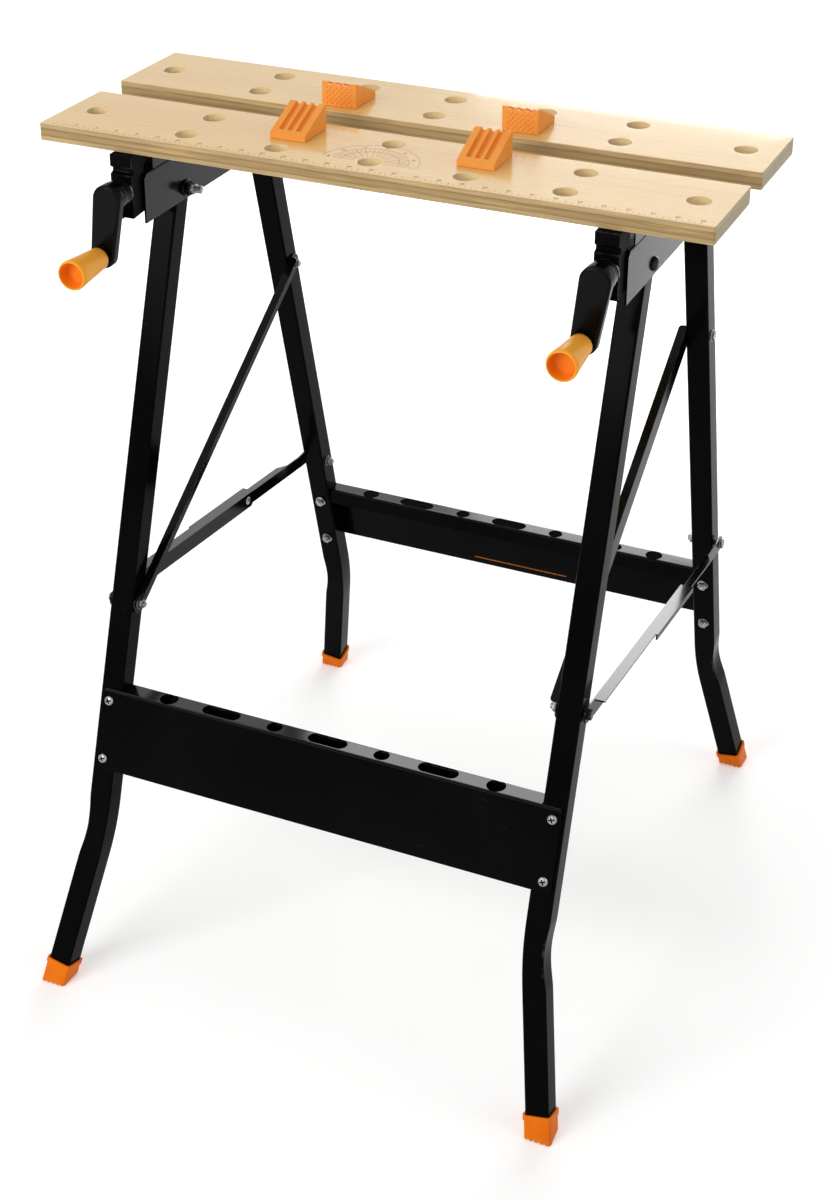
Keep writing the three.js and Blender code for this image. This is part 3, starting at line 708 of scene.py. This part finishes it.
def panScrew():
    head, shank, washer = screwSet["head"], screwSet["shank"], screwSet["washer"]
    far = -screwSet["grip"]
    tip = far - screwSet["tail"]
    bm = bmesh.new()
    turned(bm, [(0, head - 0.2), (0.4, head), (1.2, head - 0.2), (2.0, head - 0.9), (2.5, head - 2.0),
                (screwSet["crown"], head - 3.3)], inMm, 32)
    turned(bm, [(tip, shank - 0.6), (tip + 0.8, shank), (0.2, shank)], inMm, 24)
    hexagon(bm, screwSet["nut"], far - screwSet["nutDeep"], far, inMm)
    turned(bm, [(far - 0.1, washer), (far + 0.25, washer)], inMm, 28)
    screw = makeObject("panScrew", bm, zincPlate)
    long, wide, floor = screwSet["crossLong"], screwSet["crossWide"], screwSet["crossFloor"]
    cross = bmesh.new()
    for k in range(2):
        arm = spun(radians(90 * k + screwSet["crossTurn"]), "Z")
        loop = roundedBox(-long, -wide, long, wide, wide / 2, 2)
        loft(cross, slab(loop, (floor, 4.0)), inMm @ arm @ Matrix.Translation((0, 0, 0.01 * k)))
    carve(screw, makeObject("crossCutter", cross, zincPlate))
    shadeByAngle(screw.data)

    def insideCross(spot, way):
        near = spot.z > floor - 0.1 and hypot(spot.x, spot.y) < 3
        return near and (abs(way.z) < 0.3 or spot.z < floor + 0.3)

    markHollow(screw.data, insideCross)
    return screw


def beamScrews(pair):
    toward = -legSet[pair]["turn"]
    place, top = legPlace(pair), beamSet["tops"][pair]
    heights = (top - beamSet["screwInset"], top - beamSet["tall"] + beamSet["screwInset"])
    face = -toward * (legSet["size"] / 2 + screwSet["face"])
    points = [place @ Vector((side * legSet["x"], face, z)) / mm for z in heights for _, side in sides]
    turn = facing((place.to_3x3() @ Vector((0, -toward, 0))).normalized())
    screws = setOnPoints(f"{pair}BeamScrews", points, panScrew(), zincPlate, turn)
    nodes = [f"{pair}_beam_screw_{row}_{label}" for row in ("upper", "lower") for label, _ in sides]
    settle(screws, f"{pair}_legs", nodes)


for pair in pairs:
    beamScrews(pair)


# hexagon bolts and nuts on a washer face; a tail longer than the head stands out as a bare end
boltSet = {"hex": 4.8, "washer": [(0.0, 5.4), (0.2, 5.6), (0.7, 5.4)], "seat": 0.7, "shank": 3.0}


def hexBolt(name, head, body, tail, material):
    shank = boltSet["shank"]
    bm = bmesh.new()
    hexagon(bm, boltSet["hex"], boltSet["seat"], head, inMm)
    turned(bm, boltSet["washer"], inMm, 32)
    turned(bm, [(-body, shank - 0.6), (-body + 0.7, shank), (1.0, shank)], inMm, 24)
    if tail > head:
        turned(bm, [(head - 0.5, shank), (tail - 0.8, shank), (tail, shank - 0.7)], inMm, 24)
    return makeObject(name, bm, material)


# pivots of the braces
braceSet = {
    "stayFrontZ": 361, "stayRearZ": 320, "diagonalZ": 579, "knee": 0.65, "rivet": [(11.3, 2.6),
    (11.5, 3.6), (11.9, 4.2), (12.4, 4.3), (12.45, 2.5), (16.0, 2.5), (16.05, 4.5), (16.6, 4.4),
    (17.3, 3.7), (17.9, 2.2), (18.05, 0.6)]}
stayFrontSpot = onLeg("front", braceSet["stayFrontZ"])
stayRearSpot = onLeg("rear", braceSet["stayRearZ"])
diagonalSpot = onLeg("rear", braceSet["diagonalZ"])
kneeSpot = tuple(a + braceSet["knee"] * (b - a) for a, b in zip(stayFrontSpot, stayRearSpot))

# body, CAD node, station outward from the middle of the leg, pivot, way, (head, body, tail), finish
fastenerSet = {
    "stayFrontBolt": ("front_legs", "stay_front_bolt", 14.2, stayFrontSpot, 1, (3.4, 24.6, 0), boltBlack),
    "diagonalBoltHead": ("rear_legs", "diagonal_bolt", 11.05, diagonalSpot, 1, (3.3, 18, 0), zincPlate),
    "diagonalBoltNut": ("rear_legs", None, -13.05, diagonalSpot, -1, (4.3, 1.4, 6.4), zincDull),
    "diagonalNut": ("diagonal_{}", "diagonal_nut", -13.05, stayFrontSpot, -1, (4.3, 1.1, 6.4), zincDull),
    "stayRearBolt": ("stay_rear_{}", "stay_rear_bolt", 15.95, stayRearSpot, 1, (3.1, 4.4, 0), zincDull),
    "stayNut": ("rear_legs", "stay_nut", -11.05, stayRearSpot, -1, (4.3, 21, 6.5), zincDull)}


def braceFasteners(label, side):
    for stem, (body, node, station, spot, way, sizes, finish) in fastenerSet.items():
        name = stem + label.title()
        points = [(side * (legSet["x"] + station), *spot)]
        shape = hexBolt(name + "Shape", *sizes, finish)
        bolt = setOnPoints(name, points, shape, finish, facing((side * way, 0, 0)))
        settle(bolt, body.format(label), [f"{node}_{label}"] if node else ())
    bm = bmesh.new()
    turned(bm, braceSet["rivet"], axisPlace((side * legSet["x"], *kneeSpot), (side, 0, 0)), 32)
    rivet = makeObject(f"kneeRivet{label.title()}", bm, zincPlate)
    settle(rivet, f"stay_front_{label}", [f"knee_rivet_{label}"])


for label, side in sides:
    braceFasteners(label, side)
print("fasteners made")


# pivots of the legs: dome head outside, flanged nut, lock nut and bare thread end inside
pivotSet = {
    "dome": [(13.3, 6.2), (13.6, 6.4), (15.1, 6.0), (16.4, 4.6), (17.1, 2.6), (17.2, 0.8)],
    "flange": [(-14.9, 7.0), (-14.7, 7.7), (-13.4, 7.9)], "nut": (6.6, -18.5, -14.7), "inside": 13.5,
    "lock": (5.4, -22.6, -18.4), "collar": [(-23.1, 3.9), (-22.9, 4.5), (-22.4, 4.6)], "shank": 3.6,
    "root": 3.15, "end": -29.5, "threadTo": -23.2, "seat": -18.4, "pitch": 1.1}


def threadEnd():
    shank, end = pivotSet["shank"], pivotSet["end"]
    profile = [(end, 2.6), (end + 0.7, shank)]
    station = end + 0.9
    while station < pivotSet["threadTo"]:
        profile += [(station, shank), (station + 0.35, shank), (station + 0.7, pivotSet["root"])]
        station += pivotSet["pitch"]
    return profile + [(pivotSet["seat"], shank)]


def legPivot(pair, label, side):
    spot = axisPlace((side * legSet["x"], legSet[pair]["y"], legSet["pivotZ"]), (side, 0, 0))
    inside, cap = pivotSet["inside"], label.title()
    bm = bmesh.new()
    turned(bm, pivotSet["dome"], spot, 40)
    turned(bm, [(z, pivotSet["shank"]) for z in (-inside, inside)], spot, 24)
    turned(bm, pivotSet["flange"], spot, 36)
    hexagon(bm, *pivotSet["nut"], spot)
    bolt = makeObject(f"{pair}Pivot{cap}", bm, boltBlack)
    settle(bolt, "root", [f"{pair}_pivot_bolt_{label}"])
    tip = bmesh.new()
    hexagon(tip, *pivotSet["lock"], spot)
    turned(tip, pivotSet["collar"], spot, 28)
    turned(tip, threadEnd(), spot, 28)
    settle(makeObject(f"{pair}PivotEnd{cap}", tip, zincPlate), "root", ())


for label, side in sides:
    for pair in pairs:
        legPivot(pair, label, side)
print("pivots made")


# CAD forms with rolled edges: body if not their own, width and segments of the roll, finish
easeSet = {
    "rail": ("root", 0.35, 2, railEnamel), "jaw_riser": ("root", 0.35, 2, railEnamel),
    "stay_front": (None, 0.35, 2, braceEnamel), "stay_rear": (None, 0.35, 2, braceEnamel),
    "diagonal": (None, 0.35, 2, braceEnamel), "bearing_block": ("root", 0.8, 3, blockBlack),
    "carriage": ("rear_jaw", 0.8, 3, blockBlack)}
for label, side in sides:
    for stem, (body, width, segments, finish) in easeSet.items():
        node = f"{stem}_{label}"
        easedNode(camel(node), node, finish, body or node, width, segments)
print("rails and braces made")


# cranks, grips and spindles; profiles are stations toward the front and radii
crankSet = {
    "axisZ": 751, "reach": 52, "swing": 8, "armFront": 179.2, "armBack": 169.2, "topR": 13.5,
    "endR": 11.5, "ease": 2.4, "topSteps": 24, "endSteps": 20, "smooth": 40, "hub": [(152.4, 10.9),
    (152.8, 11.5), (153.7, 12.3), (156.6, 12.4), (157.0, 11.9), (157.9, 11.9), (158.3, 12.4),
    (162.2, 12.4), (162.6, 11.8), (163.3, 11.8), (163.8, 13.0), (166.4, 13.3), (170.6, 13.4)],
    "boss": [(176, 8.8), (182.4, 8.8), (183.0, 8.2)], "stub": [(182, 4), (214, 4)]}
gripSet = {
    "skin": [(183.3, 8.2), (183.5, 9.2), (184.3, 9.9), (190, 10.4), (205, 11.6), (220, 12.9), (224, 13.3),
    (226, 13.4), (227.3, 13.0), (228, 12.3), (227.9, 11.7), (227.2, 11.2), (224, 10.7), (218.4, 10.0),
    (217.3, 9.3), (217.0, 8.2), (217.0, 3.0), (217.4, 1.6), (217.5, 0.5)], "dishFloor": 216,
    "dishRim": 227.9, "dishR": 11.6, "smooth": 40}
spindleSet = {
    "plain": [(-166.5, 4), (-165.5, 5), (-111.6, 5), (-111.5, 7.8), (-111.2, 8), (-108, 8), (-107.7, 7.8),
    (-107.6, 4.6), (-106, 4.6)], "radius": 5, "count": 24, "pitch": 5.0, "depth": 0.95, "from": -106.5,
    "to": 133.9, "tip": 134.4, "step": 0.62, "smooth": 60}


def armLoop():
    top, end, reach = crankSet["topR"], crankSet["endR"], crankSet["reach"]
    lean = asin((top - end) / reach)
    loop = []
    for r, y, first, sweep, steps in ((top, 0, lean, pi - 2 * lean, crankSet["topSteps"]),
                                      (end, -reach, pi - lean, pi + 2 * lean, crankSet["endSteps"])):
        for k in range(steps + 1):
            a = first + sweep * k / steps
            loop.append((r * cos(a), y + r * sin(a)))
    return loop


def crankArm(node, front, hand):
    bm = bmesh.new()
    rolledPlate(bm, [armLoop()], crankSet["armBack"], crankSet["armFront"], crankSet["ease"], front, 5)
    turned(bm, crankSet["hub"], front, 56)
    turned(bm, crankSet["boss"], hand, 40)
    turned(bm, crankSet["stub"], hand, 24)
    crank = makeObject(camel(node), bm, crankBlack, crankSet["smooth"])
    flatNormals(crank)
    settle(crank, node, [node])


def crankGrip(node, hand):
    axis = hand.translation / mm

    def insideDish(spot, way):
        deep = -gripSet["dishRim"] < spot.y < -gripSet["dishFloor"]
        return deep and hypot(spot.x - axis.x, spot.z - axis.z) < gripSet["dishR"]

    bm = bmesh.new()
    turned(bm, gripSet["skin"], hand, 56)
    grip = makeObject(camel(node), bm, gripOrange, gripSet["smooth"])
    markHollow(grip.data, insideDish)
    settle(grip, node, [node])


# one ring of the rolled thread
def threadRing(station):
    count, begin = spindleSet["count"], spindleSet["from"]
    taper = min(1, max(0.55, (spindleSet["tip"] - station) / 2.2))
    ring = []
    for k in range(count):
        phase = ((station - begin) / spindleSet["pitch"] - k / count) % 1
        depth = spindleSet["depth"] * min(max((abs(phase - 0.5) * 2 - 0.35) / 0.3, 0), 1)
        r = (spindleSet["radius"] - depth) * taper
        a = 2 * pi * k / count
        ring.append((r * cos(a), r * sin(a), station))
    return ring


def spindle(node, body, place):
    bm = bmesh.new()
    turned(bm, spindleSet["plain"], place, 36)
    rings = []
    station = spindleSet["from"]
    while station < spindleSet["to"]:
        rings.append(threadRing(station))
        station += spindleSet["step"]
    loft(bm, rings, place)
    settle(makeObject(camel(node), bm, spindleSteel, spindleSet["smooth"]), body, [node])


for label, side in sides:
    axle = placed(side * legSet["x"], 0, crankSet["axisZ"])
    # local x to the right, local y up, local z to the front
    front = axle @ spun(pi / 2, "X") @ spun(-radians(crankSet["swing"]), "Z")
    hand = front @ Matrix.Translation((0, -crankSet["reach"], 0))
    crankArm(f"crank_{label}", front, hand)
    crankGrip(f"crank_grip_{label}", hand)
    spindle(f"spindle_{label}", f"crank_{label}", axle @ spun(-pi / 2, "X"))
print("cranks, grips and spindles made")


# bench dogs: grooved wedge, knurled upright face, peg
dogSet = {
    "x": 85.7, "width": 33, "height": 21.5, "face": 14, "ridge": 3.5, "toe": 28, "toeHeight": 5,
    "base": 799.3, "peg": 19.2, "pegSteps": ((-14, 1.3), (-13.4, 0.5), (-12.6, 0), (0.5, 0)),
    "grooveWidth": 5.4, "grooveDepth": 3.2, "grooveRound": 1.6, "grooves": (-8, 0, 8),
    "grooveEnd": ((0.80, 0), (0.85, 1.4), (0.875, 3.4)), "ease": 0.7, "easeAngle": 32, "smooth": 45,
    "knurl": 4.7, "knurlDepth": 0.9, "knurlCrown": 0.22, "knurlLow": 0.6, "knurlEdge": 0.2}


def grooveSection(middle):
    half, r = dogSet["grooveWidth"] / 2, dogSet["grooveRound"]
    left, right, low = middle - half, middle + half, r - dogSet["grooveDepth"]
    angles = [pi / 8 * k for k in range(5)]
    section = [(left, 6), (left, low)]
    section += [(left + r - r * cos(a), low - r * sin(a)) for a in angles[1:]]
    section += [(right - r + r * sin(a), low - r * cos(a)) for a in angles[:4]]
    return section + [(right, low), (right, 6)]


def benchDog(node, place):
    w, h, toeHigh = dogSet["width"] / 2, dogSet["height"], dogSet["toeHeight"]
    face, toe = dogSet["face"] - dogSet["knurlDepth"], -dogSet["toe"]
    ridge, deep = dogSet["face"] - dogSet["ridge"], dogSet["grooveDepth"]
    bm = bmesh.new()
    profile = [(toe, 0), (face, 0), (face, h), (ridge, h), (toe, toeHigh)]
    loft(bm, slab(profile, (-w, w), 0), place)
    dog = makeObject(camel(node), bm, dogOrange)
    # groove frame: local y up the slope to the ridge, local z out of it
    slope = atan2(h - toeHigh, ridge - toe)
    length = hypot(h - toeHigh, ridge - toe)
    run = place @ Matrix.Translation((0, ridge, h)) @ spun(slope, "X")
    stations = [(8, 0)] + [(-share * length, rise) for share, rise in dogSet["grooveEnd"]]
    cut = bmesh.new()
    for middle in dogSet["grooves"]:
        section = grooveSection(middle)
        rings = [[(a, s, max(b, rise - deep) if b < 1 else b) for a, b in section] for s, rise in stations]
        loft(cut, rings, run)
    carve(dog, makeObject("grooveCutter", cut, dogOrange))
    easeEdges(dog, dogSet["ease"], 3, dogSet["easeAngle"], dogSet["smooth"])
    bm = bmesh.new()
    bm.from_mesh(dog.data)
    turned(bm, [(z, dogSet["peg"] / 2 - trim) for z, trim in dogSet["pegSteps"]], place, 48)
    bm.to_mesh(dog.data)
    bm.free()
    shadeByAngle(dog.data, dogSet["smooth"])
    flatNormals(dog)
    settle(dog, node, [node])


# one diamond tooth of the knurl
def toothShape():
    k, d = dogSet["knurl"] / 2, dogSet["knurlDepth"]
    rings = []
    for share, z in ((1, -d / 2), (dogSet["knurlCrown"], d)):
        rings.append([(x * k * share, y * k * share, z) for x, y in ((1, 0), (0, 1), (-1, 0), (0, -1))])
    bm = bmesh.new()
    loft(bm, rings, inMm)
    return makeObject("toothShape", bm, dogOrange, 20)


# staggered rows of teeth, short of the face's edges
def dogTeeth(body, place):
    w, h, edge = dogSet["width"] / 2, dogSet["height"], dogSet["knurlEdge"]
    face, half = dogSet["face"] - dogSet["knurlDepth"], dogSet["knurl"] / 2
    columns = int((w - 0.6 - half) / dogSet["knurl"]) + 1
    points = []
    for row in range(1, int((h - 1.0) / half)):
        z = row * half + dogSet["knurlLow"]
        for column in range(-columns, columns + 1):
            x = column * dogSet["knurl"] + half * (row % 2)
            if abs(x) + half <= w - edge and z + half <= h - edge and z - half >= 0.1:
                points.append(place @ Vector((x, face, z)) / mm)
    turn = facing((place.to_3x3() @ Vector((0, 1, 0))).normalized())
    teeth = setOnPoints(camel(body) + "Teeth", points, toothShape(), dogOrange, turn)
    shadeByAngle(teeth.data, 15)
    settle(teeth, body, ())


for label, side in sides:
    for pair, sense in (("front", 1), ("rear", -1)):
        # local x across, local y toward the gripping face, local z up
        y = jawSet[pair + "Y"] + sense * jawSet["row"]
        place = placed(side * dogSet["x"], y, dogSet["base"])
        if sense < 0:
            place = place @ spun(pi, "Z")
        benchDog(f"dog_{pair}_{label}", place)
        dogTeeth(f"dog_{pair}_{label}", place)
print("bench dogs made")


# burnt scale along the front edge and angle lines round the middle hole
scaleSet = {
    "left": -290, "right": 290, "edge": -143.6, "step": 5, "short": 2.6, "long": 4.4, "line": 0.35,
    "sink": -0.12, "lift": 0.05, "numbers": 20, "numberSize": 4.6, "numberGap": 0.9, "extrude": 0.08}
fanSet = {
    "x": 0, "y": -119.75, "step": 7.5, "lines": 25, "long": (13.0, 33.0), "short": (26.0, 31.0),
    "line": 0.3, "arcs": (25.0, 33.0, 42.0), "arcSteps": 48, "numbers": 30, "numberReach": 36,
    "numberSize": 3.2}
inkLevels = (scaleSet["sink"], scaleSet["lift"])


def burntLine(length):
    width = scaleSet["line"]
    bm = bmesh.new()
    loft(bm, slab(roundedBox(-width / 2, 0, width / 2, length, width * 0.3, 1), inkLevels), inMm)
    return makeObject("lineShape", bm, burntInk)


def arcBand(bm, radius, width, place):
    inner, outer = radius - width / 2, radius + width / 2
    low, high = inkLevels
    rings = []
    for k in range(fanSet["arcSteps"] + 1):
        a = pi * k / fanSet["arcSteps"]
        corners = ((inner, low), (outer, low), (outer, high), (inner, high))
        rings.append([(r * cos(a), r * sin(a), z) for r, z in corners])
    loft(bm, rings, place)


def addDigits(bm, words, size, place):
    curve = bpy.data.curves.new("digits", "FONT")
    curve.body = words
    curve.size = size
    curve.align_x = "CENTER"
    curve.extrude = scaleSet["extrude"]
    holder = addObject("digits", curve)
    bpy.context.view_layer.update()
    mesh = solvedMesh(holder)
    mesh.transform(place @ Matrix.Translation((0, 0, scaleSet["lift"] - scaleSet["extrude"])))
    bm.from_mesh(mesh)
    bpy.data.objects.remove(holder)
    bpy.data.curves.remove(curve)
    bpy.data.meshes.remove(mesh)


def scaleMarks():
    left, step = scaleSet["left"], scaleSet["step"]
    count = int((scaleSet["right"] - left) / step) + 1
    for name, first, length in (("scaleShortMarks", 1, "short"), ("scaleLongMarks", 0, "long")):
        row = [(left + step * k, scaleSet["edge"], jawSet["top"]) for k in range(first, count, 2)]
        marks = setOnPoints(name, row, burntLine(scaleSet[length]), burntInk)
        settle(marks, "root", ())


def scaleNumbers(middle):
    left, every = scaleSet["left"], scaleSet["numbers"]
    y = scaleSet["edge"] + scaleSet["long"] + scaleSet["numberGap"]
    bm = bmesh.new()
    for k in range(1, int((scaleSet["right"] - left) / every) + 1):
        place = placed(left + k * every, y, jawSet["top"])
        addDigits(bm, str(k * every // 10), scaleSet["numberSize"], place)
    for degrees in range(0, 181, fanSet["numbers"]):
        a = radians(degrees)
        spoke = Vector((cos(a), sin(a), 0)) * fanSet["numberReach"]
        place = middle @ Matrix.Translation(spoke) @ spun(a - pi / 2, "Z")
        addDigits(bm, str(degrees), fanSet["numberSize"], place)
    settle(makeObject("scaleNumbers", bm, burntInk), "root", ())


def angleLines(middle):
    half = fanSet["line"] / 2
    bm = bmesh.new()
    for k in range(fanSet["lines"]):
        near, far = fanSet["short"] if k % 2 else fanSet["long"]
        turn = spun(radians(fanSet["step"] * k), "Z")
        loft(bm, slab(roundedBox(near, -half, far, half, 0.1, 1), inkLevels), middle @ turn)
    for radius in fanSet["arcs"]:
        arcBand(bm, radius, fanSet["line"], middle)
    settle(makeObject("angleLines", bm, burntInk), "root", ())


fanMiddle = placed(fanSet["x"], fanSet["y"], jawSet["top"])
scaleMarks()
scaleNumbers(fanMiddle)
angleLines(fanMiddle)


# thin printed stripe on the inner face of the rear beam
stripeSet = {"left": -49, "right": 58, "down": 66.8, "wide": 1.5, "round": 0.5, "lift": 0.05, "sink": 0.2}
stripeTop = beamSet["tops"]["rear"] - stripeSet["down"]
loop = roundedBox(stripeSet["left"], stripeTop - stripeSet["wide"], stripeSet["right"], stripeTop,
                  stripeSet["round"], 2)
rearSkin = legSet["size"] / 2 + beamSet["seat"]
stripe = bmesh.new()
loft(stripe, slab(loop, (rearSkin - stripeSet["lift"], rearSkin + stripeSet["sink"]), 1), legPlace("rear"))
settle(makeObject("rearBeamStripe", stripe, stripeInk), "rear_legs", ())
print("scale and stripe made")


# studio: pale floor and surround, soft lamps, camera of the photograph
studioSet = {
    "floor": (0.86, 0.86, 0.86), "floorRadius": 6000, "floorLow": -1.2, "floorTop": -0.6,
    "floorNear": 0.26, "floorFar": 0.70, "fadeFrom": 0.7, "fadeTo": 2.6, "fill": 0.50}


# 1 on rays that see the pale background
def raySeen(start):
    rays = start.node("LightPath").socket.node.outputs
    straight, mirrored, through = (Wire(start.tree, rays[f"Is {kind} Ray"])
                                   for kind in ("Camera", "Glossy", "Transmission"))
    larger = operatorNode("MAXIMUM")
    return larger(larger(straight, mirrored), through)


floorMaterial, place = startSurface("paleFloor")
near, far = (studioSet["floorNear"],) * 3, (studioSet["floorFar"],) * 3
away = place.node("VectorMath", {"operation": "LENGTH"}, {0: place}, out="Value")
glow = blendColours(fade(away, studioSet["fadeFrom"], studioSet["fadeTo"]), near, far)
matte = place.node("BsdfDiffuse", None, {"Color": studioSet["floor"]})
lift = place.node("Emission", None, {"Color": glow, "Strength": raySeen(place)})
both = place.node("AddShader", None, {0: matte, 1: lift})
place.node("OutputMaterial", None, {"Surface": both})
bm = bmesh.new()
turned(bm, [(studioSet[key], studioSet["floorRadius"]) for key in ("floorLow", "floorTop")], inMm, 64)
floor = makeObject("paleFloor", bm, floorMaterial)

world = bpy.data.worlds.new("paleSurround")
scene.world = world
world.use_nodes = True
world.node_tree.nodes.clear()
start = Wire(world.node_tree)
strength = studioSet["fill"] + (1 - studioSet["fill"]) * raySeen(start)
surround = start.node("Background", None, {"Color": (1, 1, 1), "Strength": strength})
start.node("OutputWorld", None, {"Surface": surround})

# size, power, place and target of each lamp
lampSet = {
    "rightSoftbox": ((1.4, 1.8), 8, (2.2, 0.1, 1.9), (0, 0, 0.5)),
    "topSoftbox": ((1.4, 0.9), 12, (-0.5, 2.1, 2.25), (0, 0, 0.5)),
    "backPanel": ((1.7, 1.2), 24, (0.0, 2.3, 0.9), (0, 0, 0.6)),
    "frontSoftbox": ((1.6, 1.4), 40, (-1.1, -2.4, 1.7), (0, 0, 0.5))}
for name, (size, energy, spot, target) in lampSet.items():
    lamp = bpy.data.lights.new(name, "AREA")
    lamp.shape = "RECTANGLE"
    lamp.size, lamp.size_y = size
    lamp.energy = energy
    holder = addObject(name, lamp)
    holder.visible_camera = False
    holder.location = spot
    holder.rotation_euler = (Vector(target) - Vector(spot)).to_track_quat("-Z", "Y").to_euler()

# angles in radians; focal length, height and axis row in pixels of the photograph
cameraSet = {
    "spot": (0.68863, -1.59147, 1.36756), "yaw": 0.413228, "pitch": -0.450544, "roll": 0.004953,
    "focal": 2080.04, "tall": 1200, "axisRow": 400, "sensor": 36, "clipEnd": 100}
lens = bpy.data.cameras.new("photoCamera")
lens.sensor_width = cameraSet["sensor"]
lens.lens = cameraSet["focal"] / cameraSet["tall"] * cameraSet["sensor"]
lens.shift_y = (cameraSet["axisRow"] - cameraSet["tall"] / 2) / cameraSet["tall"]
lens.clip_end = cameraSet["clipEnd"]
camera = addObject("photoCamera", lens)
turn = spun(cameraSet["yaw"], "Z") @ spun(pi / 2 + cameraSet["pitch"], "X") @ spun(cameraSet["roll"], "Z")
camera.matrix_world = Matrix.Translation(cameraSet["spot"]) @ turn
scene.camera = camera
scene.view_settings.view_transform = "Standard"
print("studio made")
